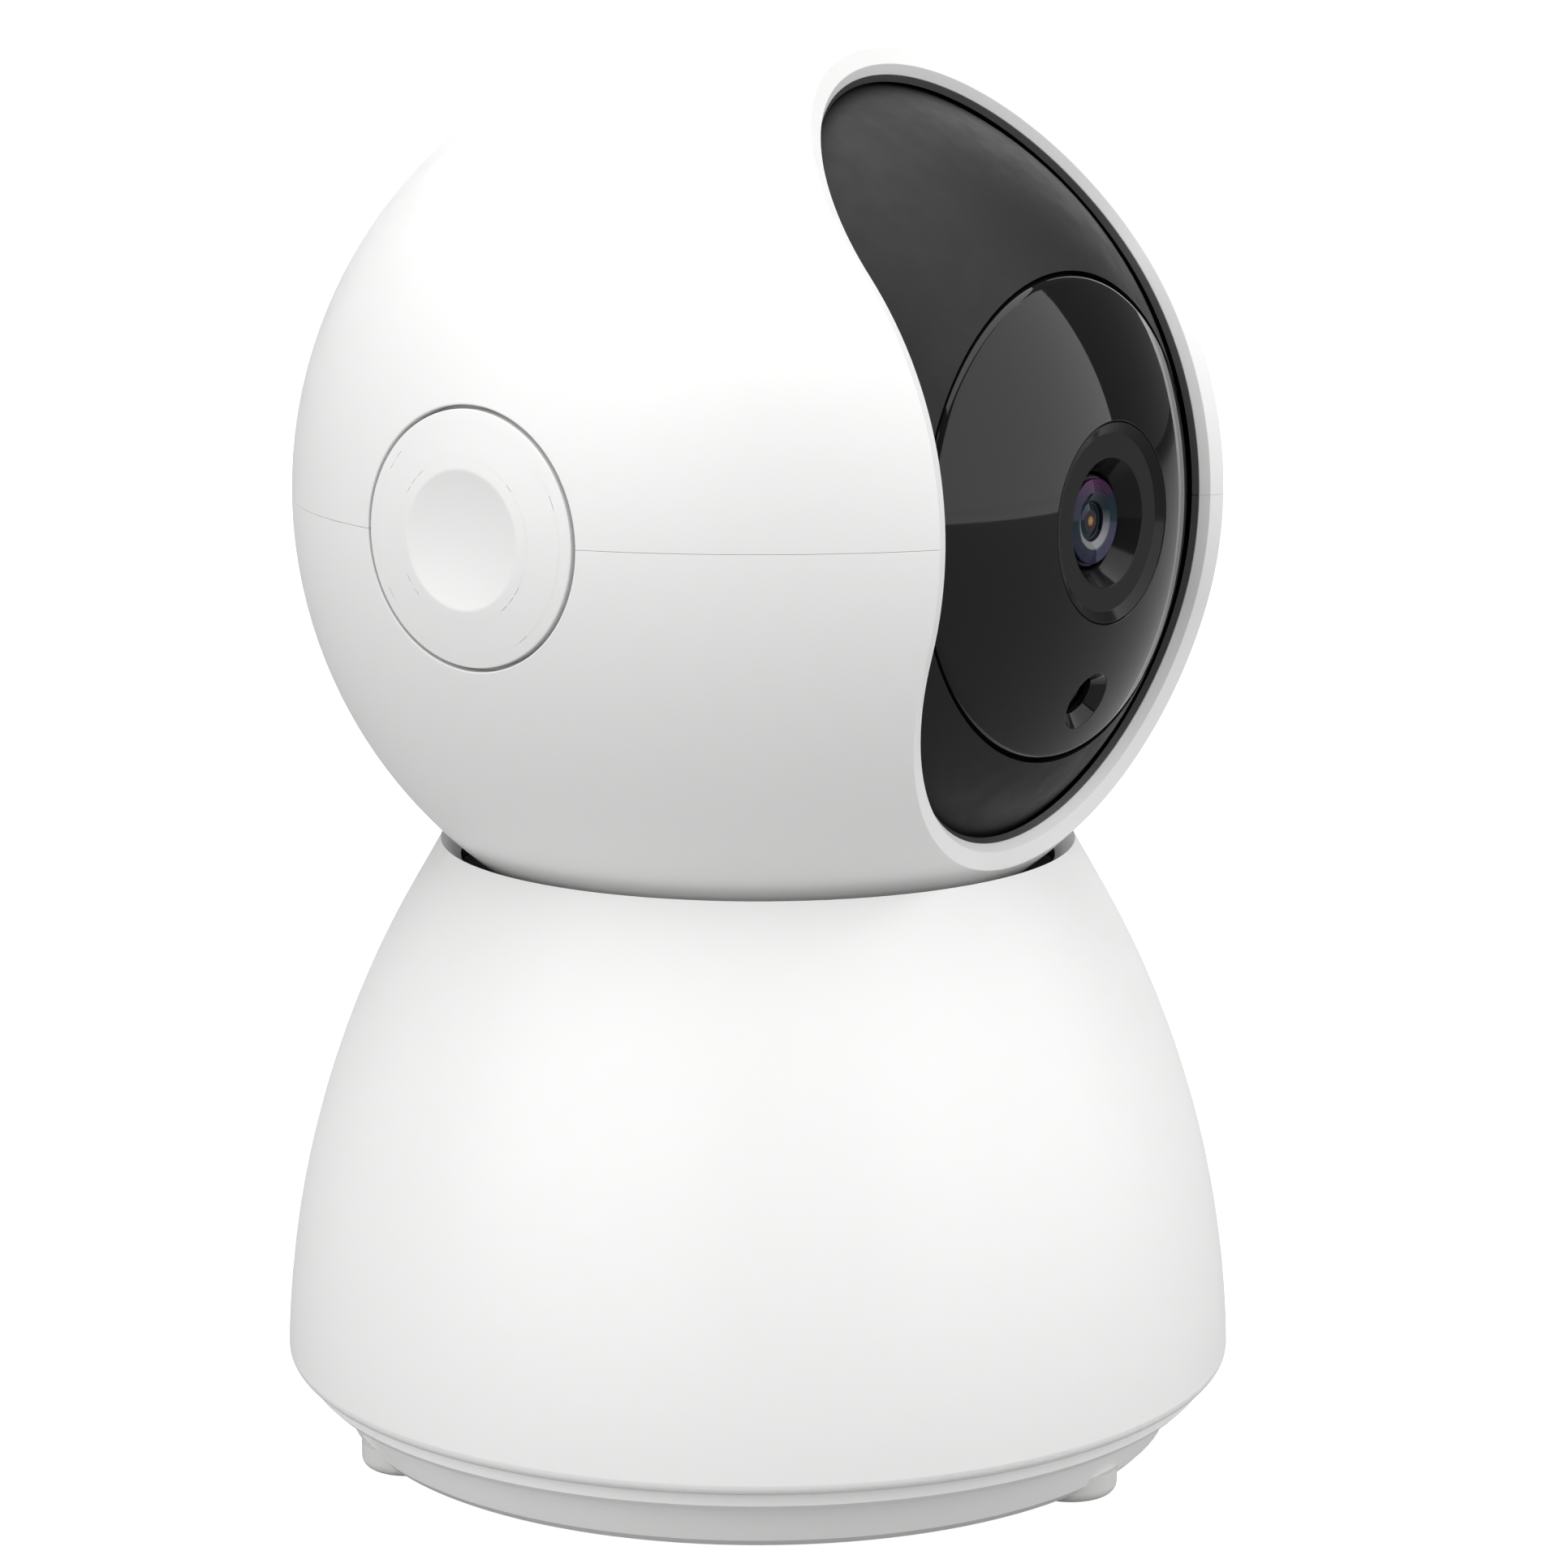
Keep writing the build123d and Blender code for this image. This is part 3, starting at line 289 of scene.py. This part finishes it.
def lathe(name, profile, radii, axis, finish, body, slot, *replaced, around=96, centre=None,
          steps=3):
    """Turned piece from a closed profile of (radius, height) corners, given clockwise."""
    mesher = Mesher()
    add_lathe(mesher, profile, radii, axis, around, centre, steps)
    return mesher.piece(name, finish, body, slot, *replaced)


def add_lathe(mesher, profile, radii, axis, around=96, centre=None, steps=3):
    axis = unit(axis)
    side = unit(np.cross(axis, (0.3, 0.5, 0.81)))
    other = np.cross(axis, side)
    middle = np.array((0, 0, HEAD_Z) if centre is None else centre, float)
    turns = np.linspace(0, 2 * math.pi, around, endpoint=False)
    stations = [(middle, side * math.cos(t) + other * math.sin(t), axis) for t in turns]
    open_ended = profile[0][0] == 0 and profile[-1][0] == 0
    if open_ended:
        path = [p for p in rounded(profile, radii, steps) if p[0][0] > 1e-3]
        rows = ring(mesher, stations, path)
        for tip, row in ((profile[0], rows[0]), (profile[-1], rows[-1])):
            sign = 1 if tip is profile[0] else -1
            end = mesher.add([middle + axis * tip[1]], [axis * sign])[0]
            mesher.fan(row, end)
    else:
        path = rounded([profile[-1], *profile, profile[0]], radii, steps)
        rows = ring(mesher, stations, path)
        mesher.strip(rows[-1], rows[0])
    for a, b in zip(rows, rows[1:]):
        mesher.strip(a, b)


def patch(mesher, loops, radius, pole, spacing, inward=False):
    """Triangles over a part of the sphere about the head's centre, between closed loops of
    points that are already there.  The sphere is laid flat about pole, area for area."""
    pole = unit(pole)
    side = unit(np.cross(pole, (0.31, 0.52, 0.79)))
    other = np.cross(pole, side)
    middle = np.array((0, 0, HEAD_Z))

    def flat(point):
        d = unit(np.array(point) - middle)
        across = np.array([d @ side, d @ other])
        return across * math.sqrt(2 / (1 + d @ pole))

    index = [i for loop in loops for i in loop]
    edge = np.array([flat(mesher.points[i]) for i in index])
    starts = np.cumsum([0] + [len(loop) for loop in loops])
    sides = [(a + k, a + (k + 1) % (b - a)) for a, b in zip(starts, starts[1:])
             for k in range(b - a)]
    gap = spacing / radius
    low, high = edge.min(0), edge.max(0)
    rows = np.arange(low[1], high[1], gap * math.sqrt(3) / 2)
    lattice = np.array([(x + (gap / 2 if n % 2 else 0), y) for n, y in enumerate(rows)
                        for x in np.arange(low[0], high[0], gap)])
    a, b = edge[[s for s, _ in sides]], edge[[e for _, e in sides]]

    def inside(p):
        crosses = (a[:, 1] > p[:, 1:2]) != (b[:, 1] > p[:, 1:2])
        at = a[:, 0] + (p[:, 1:2] - a[:, 1]) * (b[:, 0] - a[:, 0]) / (b[:, 1] - a[:, 1] + 1e-15)
        return (crosses & (p[:, 0:1] < at)).sum(1) % 2 == 1

    lattice = lattice[inside(lattice)]
    clear = np.array([np.min(((edge - p) ** 2).sum(1)) for p in lattice]) > (0.62 * gap) ** 2
    lattice = lattice[clear]
    size = (lattice ** 2).sum(1)
    up = 1 - size / 2
    scale = np.sqrt(1 - size / 4)
    across = lattice * scale[:, None]
    directions = across[:, :1] * side + across[:, 1:] * other + up[:, None] * pole
    index += mesher.add(middle + directions * radius, directions * (-1 if inward else 1))
    flat_points = [Vector(p) for p in np.vstack([edge, lattice])]
    _, _, triangles, origins, _, _ = delaunay_2d_cdt(flat_points, sides, [], 0, 1e-9)
    places = np.vstack([edge, lattice])
    middles = np.array([places[[origins[v][0] for v in t]].mean(0) for t in triangles])
    for t, keep in zip(triangles, inside(middles)):
        if keep:
            mesher.faces.append(tuple(index[origins[v][0]] for v in t))


# ------------------------------------------------------------------ head shells
X, Y, Z = np.eye(3)
MIDDLE = np.array((0, 0, HEAD_Z))
CAP_HOLE, CAP_FLOOR, CAP_INNER = CAP_R + 0.3, CAP_OUT - 1.6, 8.1
BORE = 4.5
FLANGE_R, FLANGE_TOP = 12.0, 39.3
POST_ROOT = 37.9                           # radius in the wall where the posts end
SLOT_FRONT = 31.4                          # reach of the slot's edge forward at the equator
WALL_EDGE = (WALL_R * math.sin(WALL_A), WALL_R * math.cos(WALL_A))


def on_sphere(across, radius):
    return (across, math.sqrt(radius ** 2 - across ** 2))


def shell_section(outer, *between, inner, radii):
    """Edge of a shell from its outside to its inside, each end leaving along its sphere."""
    come = np.array(outer) + np.array((outer[1], -outer[0])) / np.hypot(*outer)
    leave = np.array(inner) + np.array((inner[1], -inner[0])) / np.hypot(*inner)
    return rounded([come, outer, *between, inner, leave], radii)


SLOT_EDGE = shell_section(on_sphere(SLOT_HALF, HEAD_R), WALL_EDGE,
                          inner=(WALL_EDGE[0] * SHELL_IN / WALL_R,
                                WALL_EDGE[1] * SHELL_IN / WALL_R),
                          radii=(0.16, 0.12, 0.10))
CAP_EDGE = shell_section(on_sphere(CAP_HOLE, HEAD_R), (CAP_HOLE, CAP_FLOOR),
                         inner=on_sphere(CAP_INNER, SHELL_IN), radii=(0.12, 0.08, 0.02))
BORE_EDGE = shell_section(on_sphere(BORE, HEAD_R), (BORE, 37.8), inner=on_sphere(BORE, SHELL_IN),
                          radii=(0.1, 0.3, 0.1))
SEAM_EDGE = rounded([(HEAD_R, 1), (HEAD_R, SEAM), (38, SEAM), (SHELL_IN, SEAM), (SHELL_IN, 1)],
                    (0.035, 0.5, 0.08))


def joined(*parts):
    """Rows of several stretches of one loop, put end to end."""
    return [sum(rows, []) for rows in zip(*parts)]


def head_half(sign, slot_end):
    """Upper (sign 1) or lower (sign -1) half of the head as one closed shell."""
    mesher = Mesher()

    def ahead(elevation):
        return -Y * math.cos(elevation) + Z * math.sin(elevation)

    first = sign * math.asin(SEAM / SLOT_FRONT)
    tip = sign * (Y * math.sin(slot_end) + Z * math.cos(slot_end))
    steps = max(8, round(abs(slot_end) * 32))
    straight = np.linspace(first, slot_end, steps)
    slot = [(MIDDLE, X, ahead(e)) for e in straight]
    slot += [(MIDDLE, X * math.cos(t) + tip * math.sin(t), ahead(slot_end))
             for t in np.linspace(0, math.pi, 76)[1:-1]]
    slot += [(MIDDLE, -X, ahead(e)) for e in straight[::-1]]

    def seam(start, end, count):
        return [(MIDDLE, X * math.sin(t) - Y * math.cos(t), Z * sign)
                for t in np.linspace(start, end, count)]

    lift = math.asin(SEAM / CAP_INNER) * 1.2

    def cap(side, start, end):
        return [(MIDDLE, -Y * math.cos(t) + Z * sign * math.sin(t), X * side)
                for t in np.linspace(start, end, 62)]

    near_slot = math.asin(SLOT_HALF / HEAD_R) + 0.006
    near_cap = math.acos(CAP_HOLE / HEAD_R) - 0.006
    rows = joined(
        ring(mesher, slot, SLOT_EDGE, -1),
        ring(mesher, seam(-near_slot, -near_cap, 26), SEAM_EDGE),
        ring(mesher, cap(-1, lift, math.pi - lift), CAP_EDGE, -1),
        ring(mesher, seam(near_cap - math.pi, -near_cap - math.pi, 86), SEAM_EDGE),
        ring(mesher, cap(1, math.pi - lift, lift), CAP_EDGE, -1),
        ring(mesher, seam(near_cap, near_slot, 26), SEAM_EDGE))
    for a, b in zip(rows, rows[1:]):
        mesher.strip(a, b)
    outer, inner = [rows[0]], [rows[-1]]
    if sign < 0:
        turns = np.linspace(0, 2 * math.pi, 40, endpoint=False)
        bore = ring(mesher, [(MIDDLE, X * math.cos(t) + Y * math.sin(t), -Z) for t in turns],
                    BORE_EDGE, -1)
        for a, b in zip(bore, bore[1:]):
            mesher.strip(a, b)
        outer.append(bore[0])
        inner.append(bore[-1])
    patch(mesher, outer, HEAD_R, Z * sign, 1.5)
    patch(mesher, inner, SHELL_IN, Z * sign, 2.5, inward=True)
    return mesher


def add_post(mesher, x, y, radius, low, sign):
    """Post inside a half of the head, from its free end into the shell's wall."""
    turns = np.linspace(0, 2 * math.pi, 32, endpoint=False)
    around = [(math.cos(t), math.sin(t)) for t in turns]
    rows = []
    for reach, height in ((radius, None), (radius, low + 0.15), (radius - 0.15, low)):
        points = []
        for c, s in around:
            px, py = x + reach * c, y + reach * s
            pz = math.sqrt(POST_ROOT ** 2 - px ** 2 - py ** 2) if height is None else height
            points.append((px, py, HEAD_Z + sign * pz))
        rows.append(mesher.add(points, [(c, s, 0) if height is None or reach == radius
                                        else (0, 0, -sign) for c, s in around]))
    for a, b in zip(rows, rows[1:]):
        mesher.strip(a, b)
    deep = math.sqrt(POST_ROOT ** 2 - x ** 2 - y ** 2)
    mesher.fan(rows[0], mesher.add([(x, y, HEAD_Z + sign * deep)], [(0, 0, sign)])[0])
    mesher.fan(rows[-1], mesher.add([(x, y, HEAD_Z + sign * low)], [(0, 0, -sign)])[0])


def corners(at):
    return [(sx * at[0], sy * at[1]) for sx in (-1, 1) for sy in (-1, 1)]


SHELL_POST_AT, SHELL_POST_R = (27.8, 16.5), 2.6
BRACKET_POST_AT, BRACKET_POST_R, BRACKET_POST_LOW = (29.6, 4.6), 2.3, 15.8
upper = head_half(1, SLOT_HIGH)
lower = head_half(-1, SLOT_LOW)
for half, sign in ((upper, 1), (lower, -1)):
    for x, y in corners(SHELL_POST_AT):
        add_post(half, x, y, SHELL_POST_R, SEAM, sign)
for x, y in corners(BRACKET_POST_AT):
    add_post(lower, x, y, BRACKET_POST_R, BRACKET_POST_LOW, -1)
add_lathe(lower, [(BORE, FLANGE_TOP), (BORE, 43.2), (FLANGE_R, 44.6), (FLANGE_R, FLANGE_TOP)],
          (0.1,) * 4, Z, centre=(0, 0, 0))
upper.piece("head_upper", WHITE, "head", "white_shell", "head_shell_upper")
lower.piece("head_lower", WHITE, "head", "white_shell", "head_shell_lower")


# ------------------------------------------------------------------ side caps
def arc(centre, radius, start, end, count):
    """Corners outside an arc, so that rounding them by the arc's radius gives the arc."""
    step = (end - start) / count
    reach = radius / math.cos(step / 2)
    return [(centre[0] + reach * math.cos(start + step * (i + 0.5)),
             centre[1] + reach * math.sin(start + step * (i + 0.5))) for i in range(count)]


DIMPLE_R, DIMPLE_DEPTH = 5.5, 0.55
DIP = (DIMPLE_R ** 2 + DIMPLE_DEPTH ** 2) / (2 * DIMPLE_DEPTH)
dimple_face = math.sqrt(HEAD_R ** 2 - DIMPLE_R ** 2)
CLEAR = 0.25                               # arcs stop this far short of a rounded corner
dip_end = math.asin(DIMPLE_R / DIP) - CLEAR / DIP
hollow = arc((0, dimple_face + DIP - DIMPLE_DEPTH), DIP, -math.pi / 2, -math.pi / 2 + dip_end, 8)
rim = arc((0, 0), HEAD_R, math.acos(DIMPLE_R / HEAD_R) - CLEAR / HEAD_R,
          math.acos(CAP_R / HEAD_R) + CLEAR / HEAD_R, 6)
for label, side in (("left", 1), ("right", -1)):
    mesher = Mesher()
    add_lathe(mesher, [(0, dimple_face - DIMPLE_DEPTH), *hollow, (DIMPLE_R, dimple_face), *rim,
                       (CAP_R, CAP_OUT), (CAP_R, CAP_FLOOR), (0, CAP_FLOOR)],
              [DIP] * 8 + [0.9] + [HEAD_R] * 6 + [0.14, 0.1], X * side, around=128)
    add_lathe(mesher, [(6.7, CAP_FLOOR - 2), (6.7, CAP_FLOOR + 0.3), (7.9, CAP_FLOOR + 0.3),
                       (7.9, CAP_FLOOR - 2)], (0.1,) * 4, X * side)
    mesher.piece(f"thumb_cap_{label}", WHITE, "head", "white_shell", f"side_cap_{label}")


# ------------------------------------------------------------------ front panel and lens
PANEL_IN = 34.4
BEZEL_R = 8.05
SENSOR_DOWN = math.radians(24)


def circle(axis, count, first=X):
    """Stations round an axis through the head's centre."""
    other = np.cross(axis, first)
    return [(MIDDLE, first * math.cos(t) + other * math.sin(t), axis)
            for t in np.linspace(0, 2 * math.pi, count, endpoint=False)]


def rim_section(across, radius, steps=7):
    """Edge of the panel from its polished face over a rounded rim to its back."""
    outer, inner = np.array(on_sphere(across, EYE_R)), np.array(on_sphere(across, PANEL_IN))
    come = outer - np.array((outer[1], -outer[0])) / EYE_R
    leave = inner - np.array((inner[1], -inner[0])) / PANEL_IN
    return rounded([come, outer, inner, leave], (radius, 0.1), steps)


panel = Mesher()
edges = [ring(panel, circle(-Y, 240), rim_section(PANEL_R, 1.1)),
         ring(panel, circle(-Y, 144), shell_section(on_sphere(BEZEL_R + 0.05, EYE_R),
              inner=on_sphere(BEZEL_R + 0.05, PANEL_IN), radii=(0.1, 0.1)), -1),
         ring(panel, circle(-Y * math.cos(SENSOR_DOWN) - Z * math.sin(SENSOR_DOWN), 72),
              shell_section(on_sphere(2.6, EYE_R), (1.7, 34.9), inner=on_sphere(1.7, PANEL_IN),
                            radii=(0.12, 0.2, 0.1)), -1)]
for rows in edges:
    for a, b in zip(rows, rows[1:]):
        panel.strip(a, b)
patch(panel, [rows[0] for rows in edges], EYE_R, -Y, 1.0)
patch(panel, [rows[-1] for rows in edges], PANEL_IN, -Y, 1.6, inward=True)
panel.piece("eye_panel", GLOSS_BLACK, "eye", "black_gloss", "front_panel")

lathe("lens_surround",
      [(BEZEL_R, math.sqrt(EYE_R ** 2 - BEZEL_R ** 2)), (BEZEL_R, 32.6), (6.6, 32.6), (6.6, 31.2),
       (3.95, 31.2), (3.95, 32.9), (5.2, 34.6), (7.15, 34.6)],
      (0.08, 0.1, 0.1, 0.1, 0.1, 0.1, 0.12, 0.1), -Y, BEZEL_BLACK, "eye", "black_gloss",
      "lens_bezel", around=144)


def coated_lens_with_painted_reflections():
    """Coated glass with painted reflections: purple above, teal in the middle, blue-grey below,
    painted as coloured reflections of the coating, with rings inside, one of them a painted
    reflection that is light grey towards the bottom.
    """
    mat, tree, bsdf = material("coated_lens_with_painted_reflections", (0.02, 0.03, 0.05), 0.07, ior=1.36)

    def calc(operation, a, b):
        node = tree.nodes.new("ShaderNodeMath")
        node.operation = operation
        tree.links.new(a, node.inputs[0])
        if isinstance(b, float):
            node.inputs[1].default_value = b
        else:
            tree.links.new(b, node.inputs[1])
        return node.outputs["Value"]

    def bands(fac, stops):
        node = tree.nodes.new("ShaderNodeValToRGB")
        for i, (at, colour) in enumerate(stops):
            stop = node.color_ramp.elements[i] if i < 2 else node.color_ramp.elements.new(at)
            stop.position = at
            stop.color = (*colour, 1)
        tree.links.new(fac, node.inputs["Fac"])
        return node.outputs["Color"]

    def mix(fac, a, b):
        node = tree.nodes.new("ShaderNodeMix")
        node.data_type = "RGBA"
        tree.links.new(fac, node.inputs["Factor"])
        tree.links.new(a, node.inputs["A"])
        tree.links.new(b, node.inputs["B"])
        return next(out for out in node.outputs if out.type == "RGBA")

    coords = tree.nodes.new("ShaderNodeTexCoord")
    apart = tree.nodes.new("ShaderNodeSeparateXYZ")
    tree.links.new(coords.outputs["Object"], apart.inputs["Vector"])
    up = calc("SUBTRACT", apart.outputs["Z"], HEAD_Z * MM)
    across = apart.outputs["X"]
    reach = calc("POWER", calc("ADD", calc("MULTIPLY", up, up), calc("MULTIPLY", across, across)),
                 0.5)
    out = calc("DIVIDE", reach, LENS_R * MM)
    high = calc("ADD", calc("DIVIDE", up, 2 * LENS_R * MM), 0.5)
    # painted coloured reflections of the coating over the glass's dark tint: purple at the top,
    # teal in the middle, blue-grey below
    coat = bands(high, [(0.0, (0.012, 0.015, 0.035)), (1.0, (0.060, 0.008, 0.055)),
                        (0.30, (0.022, 0.032, 0.048)), (0.55, (0.007, 0.028, 0.026)),
                        (0.75, (0.009, 0.017, 0.025))])
    # painted reflection: the grey ring inside the lens is light grey towards the bottom and dark
    # teal at the top
    painted_reflection_ring = bands(high, [(0.30, (0.20, 0.21, 0.21)), (0.62, (0.006, 0.020, 0.020))])
    pupil = bands(out, [(0.0, (0.38, 0.23, 0.08)), (0.09, (0.26, 0.13, 0.04)),
                        (0.13, (0.012, 0.010, 0.010)), (0.22, (0.030, 0.016, 0.008)),
                        (0.26, (0.002, 0.016, 0.020)), (0.40, (0.002, 0.022, 0.028)),
                        (0.42, (0.090, 0.040, 0.015)), (0.44, (0.002, 0.008, 0.010))])
    in_ring = bands(out, [(0.47, (0, 0, 0)), (0.49, (1, 1, 1))])
    in_glass = bands(out, [(0.64, (0, 0, 0)), (0.67, (1, 1, 1))])
    tree.links.new(mix(in_glass, mix(in_ring, pupil, painted_reflection_ring), coat), bsdf.inputs["Base Color"])
    bsdf.inputs["Specular Tint"].default_value = (0.72, 0.52, 1.0, 1)
    bump(tree, bsdf, noise(tree, 3000, 1.0), 0.05, 1e-6)
    return mat


LENS_R, RIDGES = 3.45, 7
ridge_tops = [(r + part, 33.42 - 0.035 * (r - 2.3) ** 2 + lift)
              for r in np.linspace(2.35, 3.25, RIDGES) for part, lift in ((0, 0), (0.07, 0.03))]
front = Mesher()
add_lathe(front, [(0, 33.02), (0.9, 32.97), (1.5, 32.80), (1.6, 33.12), (1.75, 33.16),
                  (2.2, 33.36), *ridge_tops, (LENS_R, 33.30), (LENS_R, 32.85), (3.05, 32.85),
                  (3.05, 30.2), (0, 30.2)],
          [0.3, 0.05, 0.02, 0.02, 0.05] + [0.012] * len(ridge_tops) + [0.04] * 4, -Y, around=128)
add_lathe(front, [(0, 27.5), (2.55, 27.5), (2.55, 20.0), (0, 20.0)], (0.08, 0.08), -Y,
          around=64)
front.piece("lens_elements", coated_lens_with_painted_reflections(), "eye", "lens_glass", "lens_glass")


# ------------------------------------------------------------------ studio
def area_light(name, place, target, width, height, power, colour=(1, 1, 1)):
    data = bpy.data.lights.new(name, "AREA")
    data.shape = "RECTANGLE"
    data.size, data.size_y = width, height
    data.energy = power
    data.color = colour
    lamp = bpy.data.objects.new(name, data)
    bpy.context.scene.collection.objects.link(lamp)
    lamp.location = place
    lamp.rotation_euler = (Vector(target) - Vector(place)).to_track_quat("-Z", "Y").to_euler()
    return lamp


VIEW_RIGHT = Vector((0.594, -0.804, 0))
VIEW_AWAY = Vector((0.804, 0.594, 0))
CENTRE = Vector((0, 0, HEAD_Z * MM))


def around(azimuth, distance, height):
    """Point at an angle to the right of the camera's side, seen from above."""
    a = math.radians(azimuth)
    return VIEW_RIGHT * (distance * math.sin(a)) - VIEW_AWAY * (distance * math.cos(a)) \
        + Vector((0, 0, height))


area_light("top_box", (0, 0, 1.5), (0, 0, 0), 2.2, 2.2, 35)
area_light("front_box", around(72, 1.33, 0.75), (0, 0, 0.75), 2.06, 1.5, 17)
area_light("left_box", around(-48, 1.5, 0.75), (0, 0, 0.75), 1.9, 1.5, 19)
area_light("back_box", around(172, 1.7, 0.8), (0, 0, 0.5), 1.4, 1.6, 8)

world = bpy.data.worlds.new("studio")
world.use_nodes = True
world.node_tree.nodes["Background"].inputs["Color"].default_value = (1, 1, 1, 1)
world.node_tree.nodes["Background"].inputs["Strength"].default_value = 0.14
bpy.context.scene.world = world

ROOM_SIDE, WALL_TOP, BOUNCE_SIDE, BOUNCE_DROP = 4.0, 3.5, 12.0, 0.0005
CORNERS = ((-1, -1), (1, -1), (1, 1), (-1, 1))
white_paper, _, paper_bsdf = material("white_paper", (0.30, 0.30, 0.30), 0.9)
paper_bsdf.inputs["Emission Color"].default_value = (1, 1, 1, 1)
paper_bsdf.inputs["Emission Strength"].default_value = 0.96
grey_paper, _, _ = material("grey_paper", (0.29, 0.29, 0.29), 0.9)


def stage_sheet(name, finish, side, corners, faces):
    mesh = bpy.data.meshes.new(name)
    mesh.from_pydata([(side * x, side * y, z) for x, y, z in corners], [], faces)
    mesh.materials.append(finish)
    sheet = bpy.data.objects.new(name, mesh)
    bpy.context.scene.collection.objects.link(sheet)
    return sheet


# the white room that is seen, and the greyer floor that throws light back up at the object
room = stage_sheet("room", white_paper, ROOM_SIDE,
                   [(x, y, z) for z in (0, WALL_TOP) for x, y in CORNERS],
                   [(0, 1, 2, 3)] + [(i, (i + 1) % 4, 4 + (i + 1) % 4, 4 + i) for i in range(4)]
                   + [(7, 6, 5, 4)])
room.visible_diffuse = room.visible_glossy = room.visible_transmission = False
room.visible_volume_scatter = room.visible_shadow = False
bounce = stage_sheet("bounce", grey_paper, BOUNCE_SIDE,
                     [(x, y, -BOUNCE_DROP) for x, y in CORNERS], [(0, 1, 2, 3)])
bounce.visible_camera = False

CAMERA_AWAY, CAMERA_UP = 0.370, 0.04671    # metres from the centre of the head
CAMERA_TILT, CAMERA_HEADING = math.radians(79), math.radians(-53.55)
camera_data = bpy.data.cameras.new("camera")
camera_data.lens, camera_data.sensor_width = 101.53, 36.0
camera_data.shift_x = 0.0163
camera_data.clip_start = 0.01
camera = bpy.data.objects.new("camera", camera_data)
bpy.context.scene.collection.objects.link(camera)
camera.location = CENTRE - VIEW_AWAY * CAMERA_AWAY + Vector((0, 0, CAMERA_UP))
camera.rotation_euler = (CAMERA_TILT, 0, CAMERA_HEADING)
bpy.context.scene.camera = camera
bpy.context.scene.view_settings.view_transform = "Standard"
